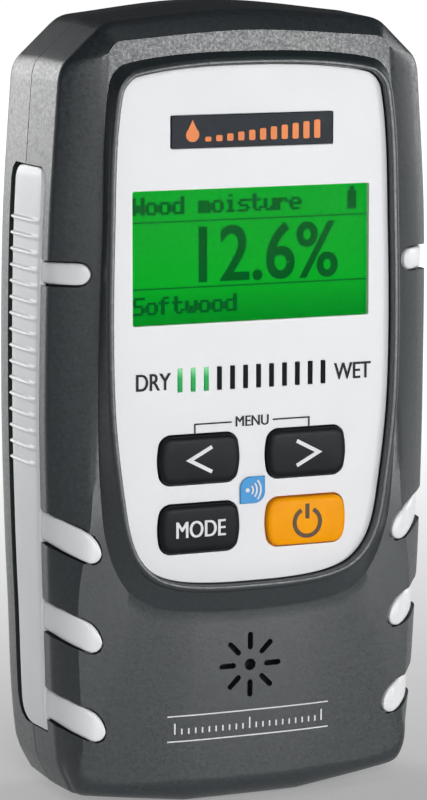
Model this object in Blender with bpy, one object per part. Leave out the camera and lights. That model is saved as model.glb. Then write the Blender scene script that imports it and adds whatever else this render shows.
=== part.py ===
"""Handheld building-moisture meter: two housing shells, white side grips, a keypad and display
panel, twelve indicator bars, a sounder, boards, a block battery and its door.

World axes: +X to the viewer's right, the front faces -Y, +Z runs up the length of the meter, and
the origin is at the middle of the bottom.  All sizes below are in millimetres.  Outlines are
drawn in X and Z; "depth" is the distance behind the face of the front panel.
"""
import math

import bmesh
import bpy
from mathutils import Vector
from mathutils.bvhtree import BVHTree

MM = 0.001

# Driving dimensions.
BACK_DEPTH = 35.0            # flat back of the rear shell
PAD_PROUD = 0.6              # the sensor pads stand out of the back by this much
LIP_PROUD = 2.1              # the raised lip round the panel stands in front of the panel
PANEL_Y = -0.5 * (BACK_DEPTH + PAD_PROUD - LIP_PROUD)
PARTING_DEPTH = 18.5         # front and rear shells meet here
FIT = 0.3                    # clearance between pieces that touch
WALL = 2.5
BASE_HALF = 12.0             # half width of the flat that the meter stands on

# Rails of the housing.  Each one runs down the right half from the top centre to the bottom
# centre as (half width, depth, height).  Every rail has the same stations.
SEGMENT_STEPS = (4, 2, 3, 3, 2, 3, 3, 2, 3, 1)
SHARP = {
    "rim": (1, 2, 8, 9),
    "foot": (1, 2, 8, 9),
    "crease": (1,),
    "lip_foot": (),
    "panel": (),
}
RAILS = {
    "rim": ((0, 18.5, 154.6), (27.8, 18.5, 152.0), (37.4, 18.5, 143.2), (39.5, 18.5, 113),
            (40.1, 18.5, 80), (39.8, 18.5, 58), (39.2, 18.5, 40), (37.7, 18.5, 10.4),
            (34.4, 18.5, 2.9), (BASE_HALF, 18.5, 0), (0, 18.5, 0)),
    "foot": ((0, 5.4, 153.3), (28.3, 4.6, 151.3), (37.1, 4.9, 143.0), (39.1, 5.3, 113),
             (39.7, 6.4, 80), (39.4, 6.7, 58), (38.9, 7.3, 40), (37.1, 8.4, 10.5),
             (34.1, 9.0, 3.1), (BASE_HALF, 9.4, 0), (0, 9.4, 0)),
    "crease": ((0, 1.0, 149.6), (27.2, 1.0, 148.0), (29.2, 0.8, 144.8), (30.6, 0.8, 113),
               (31.5, 1.5, 80), (32.5, 1.6, 58), (34.8, 2.5, 42.5), (33.8, 3.0, 15),
               (32.4, 3.6, 7.6), (BASE_HALF, 1.5, 5.8), (0, 1.3, 5.6)),
    "lip_foot": ((0, 1.0, 145.7), (25.2, 0.9, 143.9), (28.9, 0.7, 140.0), (30.3, 0.6, 113),
                 (31.1, 1.4, 80), (30.3, 1.6, 59), (28.4, 1.7, 49.7), (24.6, 1.5, 43),
                 (19.5, 1.1, 39.9), (11, 0.8, 38.5), (0, 0.6, 38.1)),
    "panel": ((0, 0, 143.2), (23.6, 0, 141.4), (26.9, 0, 137.8), (28.5, 0, 113),
              (28.6, 0, 80), (26.3, 0, 59), (24.4, 0, 51.8), (21.0, 0, 47.4),
              (16.3, 0, 45.3), (9, 0, 44.3), (0, 0, 44.1)),
}
LIP_CREST_OUT = 1.75         # the lip's outer crest, outside the panel edge
LIP_INNER_OUT = 0.25
LIP_CREST_DEPTH = -0.8
LEDGE_DEPTH = 1.8            # the panel is glued to a ledge behind it
LEDGE_WIDTH = 1.7
LEDGE_THICKNESS = 1.6
HEEL_ROLL = 0.9              # how round the bevel is along the bottom edge
BEVEL_ROLL = 0.12            # and everywhere else

# Side grips and their tongues: (height at the bevel's foot, half height, drop per mm, reach).
GRIP_TOP, GRIP_BOTTOM = 124.0, 15.5
GRIP_SETBACK = 3.5           # behind the bevel's foot
GRIP_REAR = 23.3
CHANNEL_REAR = 26.4
GRIP_PROUD, GRIP_SUNK = 0.35, 1.1
TONGUES = ((104.6, 2.05, 0.0, 32.4), (55.6, 2.95, 0.48, 30.5),
           (38.1, 2.95, 0.48, 30.3), (20.6, 2.95, 0.48, 29.4))
TONGUE_PROUD, TONGUE_SUNK = 0.35, 0.85
NOTCH_GAP, NOTCH_DEPTH = 0.4, 1.3
RIB_COUNT, RIB_TOP, RIB_PITCH = 16, 114.0, 3.1
RIB_HEIGHT, RIB_HALF, RIB_SLANT = 0.45, 0.7, 0.065

# Front panel and what shows in it.
PANEL_THICKNESS = 1.4
WINDOW = (0.0, 107.2, 49.0, 25.5)             # centre x, centre z, width, height
PLATE = (0.0, 130.8, 33.7, 6.5)
BAR_COUNT, BAR_PITCH, BAR_SIZE, BAR_Z = 12, 2.71, (1.05, 4.6), 83.8
KEY_SIZE, KEY_BULGE, KEY_ROUND = (16.4, 9.2), 0.9, 1.5
KEY_X, KEY_TOP_Z, KEY_LOW_Z = 11.15, 68.5, 55.2
KEY_PROUD = 1.0
KEY_GAP = 0.35
BADGE = (0.0, 61.8, 5.2, 5.2)

# Sounder grille.
GRILLE_Z, GRILLE_SLOTS = 27.4, 8
GRILLE_INNER, GRILLE_OUTER, GRILLE_SLOT_WIDTH, GRILLE_EYE = 3.6, 6.2, 1.1, 1.05

# Battery bay in the lower back, for a 48.5 x 26.5 x 17.5 block battery.
BAY_X, BAY_LOW, BAY_HIGH = 14.6, 12.0, 68.0
BAY_FRONT = 14.4
BAY_WALL = 1.3
BAY_BLOCK_DEPTHS = (19.1, 34.0)
DOOR_THICKNESS, DOOR_LAP = 1.6, 1.6
CATCH_SIZE, CATCH_FRONT = (18.0, 1.6), 30.8
DOOR_GROOVES, DOOR_GROOVE_PITCH = 3, 2.2

# Housing screws: post and hole radii and depths.
SCREW_SPOTS = (("top_left", -29.0, 140.0), ("top_right", 29.0, 140.0),
               ("bottom_left", -27.5, 12.5), ("bottom_right", 27.5, 12.5))
FRONT_POST_RADIUS, FRONT_POST_DEPTHS = 3.0, (4.6, 18.2)
PILOT_RADIUS, PILOT_DEPTHS = 1.5, (8.5, 19.5)
REAR_POST_RADIUS, REAR_POST_DEPTHS = 4.0, (19.0, 33.6)
SHANK_HOLE_RADIUS, HEAD_HOLE_RADIUS, HEAD_HOLE_FRONT = 1.6, 3.1, 29.6
SCREW_PROFILE = ((12.0, 1.25), (30.0, 1.25), (30.0, 2.75), (31.4, 2.75), (32.0, 2.2))
DRIVE_ARM, DRIVE_HALF, DRIVE_DEPTHS = 1.5, 0.3, (31.0, 33.0)

# Sensor pads on the back, and where the inside pieces sit, front to back.
PAD_SIZE = (46.0, 9.0)
PAD_SPOTS = (("upper", 130.0), ("lower", 96.0))
PAD_SEAT = 1.1
LENS_DEPTHS = (0.05, 1.1)
GLASS_SIZE, GLASS_DEPTHS = (51.6, 29.0), (1.75, 3.4)
DIFFUSER_SIZE, DIFFUSER_DEPTHS = (50.6, 28.0), (3.7, 5.6)
FRAME_SIZE, FRAME_WELL, FRAME_DEPTHS = (55.0, 34.0), (51.4, 28.8), (4.0, 8.5)
CONTACT_STRIP_HALF, CONTACT_STRIP_DROP = 22.0, (19.6, 17.4)
MAT_SIZE, MAT_DEPTHS, DOME_RADIUS, PLUNGER_RADIUS = (42.0, 26.0), (4.0, 4.8), 4.2, 3.0
BUZZER_RADIUS, BUZZER_DEPTHS = 6.9, (4.6, 8.4)
GAUZE_RADIUS, GAUZE_DEPTHS = 7.4, (3.85, 4.25)
BOARD_SIZE, BOARD_Z, BOARD_DEPTHS = (49.0, 122.0), 80.0, (8.8, 10.4)
BOARD_HOLE_X, BOARD_HOLE_Z, BOARD_HOLE_RADIUS = 21.0, 82.0, 1.5
SENSOR_BOARD_SIZE, SENSOR_BOARD_Z, SENSOR_BOARD_DEPTHS = (52.0, 50.0), 113.0, (30.0, 31.4)
CONNECTOR = (-9.0, 9.0, 108.0, 112.0)
BATTERY_SIZE, BATTERY_Z, BATTERY_DEPTHS = (26.5, 46.4), 37.6, (15.2, 32.4)
STUDS = (("small", -6.35, 2.8), ("large", 6.35, 3.6))
STUD_DEPTH = 23.8
CLIP_HALF, CLIP_DEPTHS = 12.0, (18.0, 29.6)

COLOURS = {                  # linear RGB, metallic, roughness
    "housing": ((0.055, 0.062, 0.070), 0.0, 0.55),
    "white_rubber": ((0.80, 0.80, 0.82), 0.0, 0.30),
    "panel_white": ((0.72, 0.73, 0.76), 0.0, 0.42),
    "key_black": ((0.015, 0.017, 0.019), 0.0, 0.35),
    "key_orange": ((0.85, 0.33, 0.010), 0.0, 0.35),
    "display_green": ((0.0, 0.36, 0.02), 0.0, 0.25),
    "clear": ((0.85, 0.9, 0.9), 0.0, 0.05),
    "bar_lit": ((0.10, 0.70, 0.15), 0.0, 0.30),
    "bar_dark": ((0.012, 0.012, 0.014), 0.0, 0.30),
    "plate_dark": ((0.016, 0.020, 0.026), 0.0, 0.40),
    "badge_blue": ((0.0, 0.26, 0.62), 0.0, 0.40),
    "board_green": ((0.02, 0.16, 0.06), 0.0, 0.45),
    "pad_black": ((0.012, 0.012, 0.012), 0.0, 0.70),
    "steel": ((0.55, 0.56, 0.58), 1.0, 0.30),
    "battery_wrap": ((0.05, 0.07, 0.10), 0.2, 0.35),
}


# ---------------------------------------------------------------- helpers

def clear_scene():
    for thing in list(bpy.data.objects):
        bpy.data.objects.remove(thing, do_unlink=True)


def material(name):
    found = bpy.data.materials.get(name)
    if found:
        return found
    colour, metallic, roughness = COLOURS[name]
    made = bpy.data.materials.new(name)
    made.use_nodes = True
    shader = made.node_tree.nodes["Principled BSDF"]
    shader.inputs["Base Color"].default_value = (*colour, 1.0)
    shader.inputs["Metallic"].default_value = metallic
    shader.inputs["Roughness"].default_value = roughness
    return made


def at(x, depth, z):
    """World position, in metres, of a point given in millimetres and depth."""
    return Vector((x, PANEL_Y + depth, z)) * MM


def publish(name, bm, finish, smooth_angle=35.0):
    """Turns a closed bmesh (x, depth, z in mm) into a named object in metres."""
    bmesh.ops.recalc_face_normals(bm, faces=bm.faces)
    for vertex in bm.verts:
        vertex.co = at(*vertex.co)
    mesh = bpy.data.meshes.new(name)
    bm.to_mesh(mesh)
    bm.free()
    mesh.shade_smooth()
    mesh.set_sharp_from_angle(angle=math.radians(smooth_angle))
    thing = bpy.data.objects.new(name, mesh)
    thing.data.materials.append(material(finish))
    bpy.context.scene.collection.objects.link(thing)
    return thing


def hide_cutter(thing):
    thing.hide_render = True
    thing.display_type = "WIRE"


def boolean(target, tool, operation):
    hide_cutter(tool)
    modifier = target.modifiers.new(operation.lower() + "_" + tool.name, "BOOLEAN")
    modifier.operation = operation
    modifier.object = tool
    modifier.solver = "EXACT"


def cut(target, tool):
    boolean(target, tool, "DIFFERENCE")


def join(target, tool):
    boolean(target, tool, "UNION")


def skin(bm, rings, closed=False, cap_start=False, cap_end=False):
    """Joins rings of equal length with quads; closed joins the last ring to the first."""
    made = [[bm.verts.new(point) for point in ring] for ring in rings]
    pairs = list(zip(made, made[1:]))
    if closed:
        pairs.append((made[-1], made[0]))
    for first, second in pairs:
        for index in range(len(first)):
            after = (index + 1) % len(first)
            bm.faces.new((first[index], first[after], second[after], second[index]))
    if cap_start:
        bm.faces.new(made[0])
    if cap_end:
        bm.faces.new(made[-1])


def prism(name, outline, depths, finish, insets=None):
    """Solid with one outline in X and Z, swept through the given depths, each with its inset."""
    bm = bmesh.new()
    insets = insets or [0.0] * len(depths)
    rings = []
    for depth, inset in zip(depths, insets):
        rings.append([(x, depth, z) for x, z in shift_outline(outline, -inset)])
    skin(bm, rings, cap_start=True, cap_end=True)
    return publish(name, bm, finish)


def shift_outline(outline, distance):
    """Moves each side of a closed outline outward by distance (inward when negative)."""
    if distance == 0.0:
        return list(outline)
    area = sum(a[0] * b[1] - b[0] * a[1] for a, b in zip(outline, outline[1:] + outline[:1]))
    turn = 1.0 if area > 0 else -1.0
    moved = []
    count = len(outline)
    for index, (x, z) in enumerate(outline):
        before, after = outline[index - 1], outline[(index + 1) % count]
        first = Vector((x - before[0], z - before[1])).normalized()
        second = Vector((after[0] - x, after[1] - z)).normalized()
        normal_a = Vector((first.y, -first.x)) * turn
        normal_b = Vector((second.y, -second.x)) * turn
        middle = (normal_a + normal_b).normalized()
        reach = distance / max(0.5, middle.dot(normal_a))
        moved.append((x + middle.x * reach, z + middle.y * reach))
    return moved


def rounded_rectangle(centre_x, centre_z, width, height, radius, bulge=0.0, steps=4):
    """Outline with round corners; bulge bows the left and right sides outward."""
    points = []
    corners = ((1, 1, 0), (-1, 1, 90), (-1, -1, 180), (1, -1, 270))
    for sign_x, sign_z, start in corners:
        for step in range(steps + 1):
            angle = math.radians(start + 90.0 * step / steps)
            x = sign_x * (width / 2 - radius) + radius * math.cos(angle)
            z = sign_z * (height / 2 - radius) + radius * math.sin(angle)
            points.append((x, z))
        if bulge and sign_x == -sign_z:
            side = -1 if sign_x < 0 else 1
            inner = height / 2 - radius
            for share in (0.5, 0.0, -0.5):
                points.append((side * width / 2, -side * share * inner))
    if bulge:
        points = [(x - math.copysign(bulge, x) * (2 * z / height) ** 2, z) for x, z in points]
    return [(centre_x + x, centre_z + z) for x, z in points]


def box_outline(low_x, high_x, low_z, high_z):
    return [(low_x, low_z), (high_x, low_z), (high_x, high_z), (low_x, high_z)]


def disc(centre_x, centre_z, radius, steps=20):
    return [(centre_x + radius * math.cos(2 * math.pi * step / steps),
             centre_z + radius * math.sin(2 * math.pi * step / steps)) for step in range(steps)]


# ---------------------------------------------------------------- rails

def smooth_run(keys, steps, start_slope=None, end_slope=None):
    """Cubic through the keys, with the given number of steps between each pair."""
    slopes = []
    for index, key in enumerate(keys):
        before = keys[max(index - 1, 0)]
        after = keys[min(index + 1, len(keys) - 1)]
        slopes.append((after - before) / max((after - before).length, 1e-9))
    slopes[0] = start_slope if start_slope else slopes[0]
    slopes[-1] = end_slope if end_slope else slopes[-1]
    points = []
    for index, count in enumerate(steps):
        start, end = keys[index], keys[index + 1]
        span = (end - start).length
        for step in range(count):
            t = step / count
            points.append(start * (2 * t ** 3 - 3 * t ** 2 + 1)
                          + slopes[index] * span * (t ** 3 - 2 * t ** 2 + t)
                          + end * (3 * t ** 2 - 2 * t ** 3)
                          + slopes[index + 1] * span * (t ** 3 - t ** 2))
    points.append(keys[-1])
    return points


def rail(name):
    """Closed loop of points round the housing, from the top centre down the right and back."""
    keys = [Vector(key) for key in RAILS[name]]
    breaks = [0] + list(SHARP[name]) + [len(keys) - 1]
    half = []
    for start, end in zip(breaks, breaks[1:]):
        across = Vector((1.0, 0.0, 0.0)) if start == 0 else None
        back = Vector((-1.0, 0.0, 0.0)) if end == len(keys) - 1 else None
        run = smooth_run(keys[start:end + 1], SEGMENT_STEPS[start:end], across, back)
        half.extend(run if not half else run[1:])
    mirror = [Vector((-point.x, point.y, point.z)) for point in reversed(half[1:-1])]
    return half + mirror


def offset_rail(points, outward, depth=None, deeper=0.0):
    """Shifts a rail in X and Z along its own normal, then sets or changes its depth."""
    moved = shift_outline([(point.x, point.z) for point in points], outward)
    return [Vector((x, point.y + deeper if depth is None else depth, z))
            for (x, z), point in zip(moved, points)]


def bevel_rails(crease, foot, count):
    """Rails between the crease and the foot: nearly flat, and rolled round along the bottom."""
    rails = []
    for step in range(1, count + 1):
        t = step / (count + 1)
        ring = []
        for inner, outer in zip(crease, foot):
            low = min(max((12.0 - outer.z) / 7.0, 0.0), 1.0)
            roll = BEVEL_ROLL + (HEEL_ROLL - BEVEL_ROLL) * low * low * (3 - 2 * low)
            corner = Vector((outer.x, inner.y, outer.z))
            control = (inner + outer) / 2 * (1 - roll) + corner * roll
            ring.append(inner * (1 - t) ** 2 + control * 2 * t * (1 - t) + outer * t * t)
        rails.append(ring)
    return rails


def lookup(points, height):
    """Point of a rail's right-hand side at a given height."""
    side = [point for point in points if point.x > 15.0]
    side.sort(key=lambda point: point.z)
    for low, high in zip(side, side[1:]):
        if low.z <= height <= high.z:
            return low.lerp(high, (height - low.z) / (high.z - low.z))
    return side[0] if height < side[0].z else side[-1]


# ---------------------------------------------------------------- housing

def front_skin_rings():
    rim, foot, crease = rail("rim"), rail("foot"), rail("crease")
    lip_foot, panel = rail("lip_foot"), rail("panel")
    outside = [rim, foot] + bevel_rails(crease, foot, 2)[::-1] + [crease, lip_foot]
    outside.append(offset_rail(panel, LIP_CREST_OUT, depth=LIP_CREST_DEPTH))
    outside.append(offset_rail(panel, LIP_CREST_OUT * 0.55, depth=-LIP_PROUD + 0.3))
    outside.append(offset_rail(panel, LIP_INNER_OUT, depth=-LIP_PROUD))
    outside.append(offset_rail(panel, LIP_INNER_OUT, depth=LEDGE_DEPTH))
    ledge_back = LEDGE_DEPTH + LEDGE_THICKNESS
    inside = [offset_rail(panel, -LEDGE_WIDTH, depth=LEDGE_DEPTH),
              offset_rail(panel, -LEDGE_WIDTH, depth=ledge_back),
              offset_rail(crease, -1.6, deeper=2.4),
              offset_rail(foot, -WALL, deeper=1.9),
              offset_rail(rim, -WALL)]
    return outside, inside


def front_surface(outside):
    """Search tree of the housing's outer front, used to lay the grips' tongues on it."""
    bm = bmesh.new()
    skin(bm, outside)
    tree = BVHTree.FromBMesh(bm)
    bm.free()
    return tree


def grip_front(rails, height):
    return lookup(rails["foot"], height).y + GRIP_SETBACK


def side_half_width(rails, height, depth):
    foot, rim = lookup(rails["foot"], height), lookup(rails["rim"], height)
    share = min(max((depth - foot.y) / (rim.y - foot.y), 0.0), 1.0)
    return foot.x + (rim.x - foot.x) * share


def tongue_rows(rails, tree, spec, gap):
    """Rows of (point, half height, direction out, proud, sunk, notch depth) along a tongue.

    The tongue leaves the grip along the side wall, folds deep over the bevel's foot and rises
    to its round end on the bevel.
    """
    height, half, drop, reach = spec
    foot = lookup(rails["foot"], height)
    start = grip_front(rails, height) + 1.5
    sideways = Vector((1.0, 0.0, 0.0))
    rows = []
    for share, proud, sunk, notch in ((1.0, 0.1, 0.95, 1.2), (0.4, -0.2, 1.05, 1.35)):
        depth = foot.y + (start - foot.y) * share
        point = Vector((side_half_width(rails, height, depth), depth, height + drop * 1.7 * share))
        rows.append((point, half + gap, sideways, proud, sunk, notch))
    corner = Vector((foot.x, foot.y, height))
    rows.append((corner, half + gap, Vector((0.80, -0.60, 0.0)), -0.9, 1.9, 2.3))
    end = reach - gap
    rounded = half + gap
    stations = [(foot.x + (end + rounded - foot.x) * 0.4, -0.2, 1.2, 1.7)]
    for angle in (90, 60, 33, 12):
        along = 1 - math.cos(math.radians(angle))
        stations.append((end + rounded * along, TONGUE_PROUD, TONGUE_SUNK, NOTCH_DEPTH))
    for x, proud, sunk, notch in stations:
        into_round = max(0.0, end + rounded - x) / rounded
        narrow = math.sqrt(max(0.0, 1.0 - into_round ** 2))
        middle = height - drop * (foot.x - x)
        hit = tree.ray_cast(Vector((x, -20.0, middle)), Vector((0.0, 1.0, 0.0)))[0]
        slant = 0.5 if x > lookup(rails["crease"], middle).x else 0.1
        out = Vector((slant, -1.0, 0.0)).normalized()
        rows.append((Vector((x, hit.y, middle)), rounded * narrow, out, proud, sunk, notch))
    return rows


def tongue_solid(name, rails, tree, spec, side, finish, cutter=False):
    """One tongue of a grip, or the cutter for the notch that it lies in."""
    shares = (-1.0, 1.0) if cutter else (-1.0, -0.8, 0.0, 0.8, 1.0)
    rings = []
    for base, half, out, proud, sunk, notch in tongue_rows(rails, tree, spec,
                                                           NOTCH_GAP if cutter else 0.0):
        top = 3.0 if cutter else proud
        bottom = notch if cutter else sunk
        ring = []
        for share in shares:
            round_off = 0.25 if abs(share) == 1.0 and not cutter else 0.0
            ring.append(base + out * (top - round_off) + Vector((0, 0, half * share)))
        for share in reversed(shares):
            ring.append(base - out * bottom + Vector((0, 0, half * share)))
        rings.append([Vector((side * point.x, point.y, point.z)) for point in ring])
    bm = bmesh.new()
    skin(bm, rings, cap_start=True, cap_end=True)
    return publish(name, bm, finish)


def rib_lift(height, share):
    """Height of the finger ribs on the grip, at a height and a share from front to rear."""
    slanted = height - RIB_SLANT * 15.0 * (1.0 - share)
    nearest = round((RIB_TOP - slanted) / RIB_PITCH)
    if not 0 <= nearest < RIB_COUNT:
        return 0.0
    away = abs(slanted - (RIB_TOP - nearest * RIB_PITCH))
    return RIB_HEIGHT * max(0.0, 1.0 - away / RIB_HALF)


def grip_levels():
    """Heights of the grip's cross-sections: close together where there are ribs."""
    low_rib = RIB_TOP - (RIB_COUNT - 1) * RIB_PITCH
    levels = [GRIP_BOTTOM, GRIP_BOTTOM + 0.8, GRIP_BOTTOM + 2.2, GRIP_BOTTOM + 4.5, 28, 36, 44, 52, 60]
    for index in reversed(range(RIB_COUNT)):
        peak = RIB_TOP - index * RIB_PITCH
        levels.extend((peak - RIB_HALF, peak, peak + RIB_HALF))
    levels = [level for level in levels if level < low_rib - 2 or level >= low_rib - RIB_HALF]
    return levels + [118.0, 121.0, GRIP_TOP - 0.9, GRIP_TOP]


def grip_slab(name, rails, side, finish, ribs=True, gap=0.0, proud=GRIP_PROUD, sunk=GRIP_SUNK,
              rear=GRIP_REAR):
    rings = []
    for level in grip_levels():
        foot_depth = grip_front(rails, level)
        end_low = max(0.0, 1.0 - (level - GRIP_BOTTOM) / 4.5)
        end_high = max(0.0, 1.0 - (GRIP_TOP - level) / 3.0)
        pull = 2.2 * (1 - math.sqrt(max(0.0, 1 - end_high ** 2)))
        pull_low = 3.0 * (1 - math.sqrt(max(0.0, 1 - end_low ** 2)))
        front = foot_depth + pull - gap
        back = rear - pull - pull_low * 1.3 + gap
        height = level + gap * (level == GRIP_TOP) - gap * (level == GRIP_BOTTOM)
        ring = []
        for share in (0.0, 0.04, 0.5, 0.96, 1.0):
            depth = front + (back - front) * share
            x = side_half_width(rails, level, depth) + proud
            if not gap:
                x -= 0.3 * (share in (0.0, 1.0))
            if ribs and 0.0 < share < 1.0:
                x += rib_lift(level, share)
            ring.append(Vector((side * x, depth, height)))
        for share in (1.0, 0.5, 0.0):
            depth = front + (back - front) * share
            x = side_half_width(rails, level, depth) - sunk
            ring.append(Vector((side * x, depth, height)))
        rings.append(ring)
    bm = bmesh.new()
    skin(bm, rings, cap_start=True, cap_end=True)
    return publish(name, bm, finish)


def make_grip(name, rails, tree, side):
    grip = grip_slab(name, rails, side, "white_rubber")
    for index, spec in enumerate(TONGUES):
        tongue = tongue_solid(f"{name}_tongue_{index}", rails, tree, spec, side, "white_rubber")
        join(grip, tongue)
    return grip


def cut_grip_seats(shell, rails, tree, rear_only=False):
    """Recesses for both grips; the front shell also gets the tongues' notches."""
    for side, label in ((-1, "left"), (1, "right")):
        seat = grip_slab(f"{shell.name}_{label}_seat", rails, side, "housing", ribs=False,
                         gap=FIT, proud=3.0, sunk=GRIP_SUNK + FIT, rear=CHANNEL_REAR)
        cut(shell, seat)
        if rear_only:
            continue
        for index, spec in enumerate(TONGUES):
            notch = tongue_solid(f"{shell.name}_{label}_notch_{index}", rails, tree, spec, side,
                                 "housing", cutter=True)
            cut(shell, notch)


def cut_grille(shell):
    eye = prism("grille_eye", disc(0, GRILLE_Z, GRILLE_EYE, 16), (-4, 9), "housing")
    cut(shell, eye)
    for index in range(GRILLE_SLOTS):
        angle = 2 * math.pi * index / GRILLE_SLOTS
        along = Vector((math.sin(angle), math.cos(angle)))
        across = Vector((along.y, -along.x)) * GRILLE_SLOT_WIDTH / 2
        outline = []
        for reach, sweep in ((GRILLE_OUTER, 1), (GRILLE_INNER, -1)):
            for turn in (90, 45, 0, -45, -90):
                bend = math.radians(turn)
                swing = across * math.sin(bend) + along * GRILLE_SLOT_WIDTH / 2 * math.cos(bend)
                point = along * reach + swing * sweep
                outline.append((point.x, point.y + GRILLE_Z))
        cut(shell, prism(f"grille_slot_{index}", outline, (-4, 9), "housing"))


def make_front_shell(rails, outside, inside, tree):
    bm = bmesh.new()
    skin(bm, outside + inside, closed=True)
    shell = publish("front_shell", bm, "housing", smooth_angle=28.0)
    for label, x, z in SCREW_SPOTS:
        join(shell, prism(f"front_post_{label}", disc(x, z, FRONT_POST_RADIUS, 16),
                          FRONT_POST_DEPTHS, "housing"))
        cut(shell, prism(f"pilot_{label}", disc(x, z, PILOT_RADIUS, 12), PILOT_DEPTHS, "housing"))
    cut_grip_seats(shell, rails, tree)
    cut_grille(shell)
    return shell


def rear_rings(rails):
    rim = rails["rim"]
    edge = offset_rail(rim, -0.3, depth=30.0)
    shoulder = offset_rail(rim, -1.4, depth=BACK_DEPTH - 1.6)
    back = offset_rail(rim, -4.6, depth=BACK_DEPTH)
    outside = [offset_rail(rim, 0.0, depth=PARTING_DEPTH + FIT), edge, shoulder, back]
    inner = [offset_rail(rim, -6.2, depth=BACK_DEPTH - 2.2),
             offset_rail(rim, -3.0, depth=29.0),
             offset_rail(rim, -WALL, depth=PARTING_DEPTH + FIT)]
    for ring in outside + inner:
        for point in ring:
            if abs(point.x) <= BASE_HALF + 0.01 and point.z < 3.0 and ring in (outside[0], edge):
                point.z = 0.0
    return outside, inner


def make_rear_shell(rails, tree):
    outside, inner = rear_rings(rails)
    bm = bmesh.new()
    rings = outside[::-1] + inner[::-1]
    skin(bm, rings, cap_start=True, cap_end=True)
    shell = publish("rear_shell", bm, "housing", smooth_angle=28.0)
    cut_grip_seats(shell, rails, tree, rear_only=True)
    for label, x, z in SCREW_SPOTS:
        join(shell, prism(f"rear_post_{label}", disc(x, z, REAR_POST_RADIUS, 16),
                          REAR_POST_DEPTHS, "housing"))
        cut(shell, prism(f"shank_hole_{label}", disc(x, z, SHANK_HOLE_RADIUS, 12),
                         (PARTING_DEPTH, BACK_DEPTH + 2), "housing"))
        cut(shell, prism(f"head_hole_{label}", disc(x, z, HEAD_HOLE_RADIUS, 16),
                         (HEAD_HOLE_FRONT, BACK_DEPTH + 2), "housing"))
    bay = box_outline(-BAY_X - BAY_WALL, BAY_X + BAY_WALL, BAY_LOW - BAY_WALL, BAY_HIGH + BAY_WALL)
    join(shell, prism("bay_block", bay, BAY_BLOCK_DEPTHS, "housing"))
    hollow = box_outline(-BAY_X, BAY_X, BAY_LOW, BAY_HIGH)
    cut(shell, prism("bay_hollow", hollow, (BAY_FRONT, BACK_DEPTH + 2), "housing"))
    seat = rounded_rectangle(0, (BAY_LOW + BAY_HIGH) / 2, 2 * (BAY_X + DOOR_LAP),
                             BAY_HIGH - BAY_LOW + 2 * DOOR_LAP, 2.0)
    cut(shell, prism("door_seat", seat, (BACK_DEPTH - DOOR_THICKNESS - FIT, BACK_DEPTH + 2),
                     "housing"))
    for label, z in PAD_SPOTS:
        pocket = rounded_rectangle(0, z, PAD_SIZE[0] + 2 * FIT, PAD_SIZE[1] + 2 * FIT, 3.5)
        cut(shell, prism(f"pad_pocket_{label}", pocket, (BACK_DEPTH - PAD_SEAT, BACK_DEPTH + 3),
                         "housing"))
    return shell


# ---------------------------------------------------------------- panel, keys, display

def key_outline(x, z, grow=0.0):
    width, height = KEY_SIZE
    return rounded_rectangle(x, z, width + 2 * grow, height + 2 * grow, KEY_ROUND + grow, KEY_BULGE)


def bar_centres():
    return [(index - (BAR_COUNT - 1) / 2) * BAR_PITCH for index in range(BAR_COUNT)]


def key_centres():
    return (("key_back", -KEY_X, KEY_TOP_Z), ("key_forward", KEY_X, KEY_TOP_Z),
            ("key_mode", -KEY_X, KEY_LOW_Z), ("key_power", KEY_X, KEY_LOW_Z))


def make_front_panel():
    edge = offset_rail(rail("panel"), 0.0)
    outline = [(point.x, point.z) for point in edge]
    panel = prism("front_panel", outline, (0.0, PANEL_THICKNESS), "panel_white", (0.05, 0.05))
    x, z, width, height = WINDOW
    opening = rounded_rectangle(x, z, width, height, 0.4, steps=2)
    cut(panel, prism("window_opening", opening, (-2, 3), "panel_white"))
    for index, centre in enumerate(bar_centres()):
        slot = rounded_rectangle(centre, BAR_Z, BAR_SIZE[0], BAR_SIZE[1], 0.15, steps=1)
        cut(panel, prism(f"bar_slot_{index + 1:02d}", slot, (-2, 3), "panel_white"))
    for name, key_x, key_z in key_centres():
        opening = key_outline(key_x, key_z, KEY_GAP)
        cut(panel, prism(f"{name}_opening", opening, (-2, 3), "panel_white"))
    x, z, width, height = PLATE
    recess = rounded_rectangle(x, z, width, height, 0.4, steps=2)
    cut(panel, prism("plate_recess", recess, (-2, 0.5), "panel_white"))
    return panel


def leaf_outline(centre_x, centre_z, width, height):
    """Square with two opposite corners pointed and two round."""
    points = []
    radius = width * 0.42
    corners = ((1, 1, 0, 0.05), (-1, 1, 90, radius), (-1, -1, 180, 0.05), (1, -1, 270, radius))
    for sign_x, sign_z, start, corner in corners:
        steps = 6 if corner > 1 else 1
        for step in range(steps + 1):
            angle = math.radians(start + 90.0 * step / steps)
            points.append((centre_x + sign_x * (width / 2 - corner) + corner * math.cos(angle),
                           centre_z + sign_z * (height / 2 - corner) + corner * math.sin(angle)))
    return points


def make_panel_trim():
    x, z, width, height = PLATE
    prism("name_plate", rounded_rectangle(x, z, width - 0.3, height - 0.3, 0.3, steps=2),
          (-0.15, 0.35), "plate_dark")
    prism("connection_badge", leaf_outline(*BADGE), (-0.32, -0.12), "badge_blue")
    for index, centre in enumerate(bar_centres()):
        outline = rounded_rectangle(centre, BAR_Z, BAR_SIZE[0] - 0.25, BAR_SIZE[1] - 0.25, 0.1,
                                    steps=1)
        finish = "bar_lit" if index < 3 else "bar_dark"
        prism(f"led_bar_{index + 1:02d}", outline, (-0.1, 7.6), finish)


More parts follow.
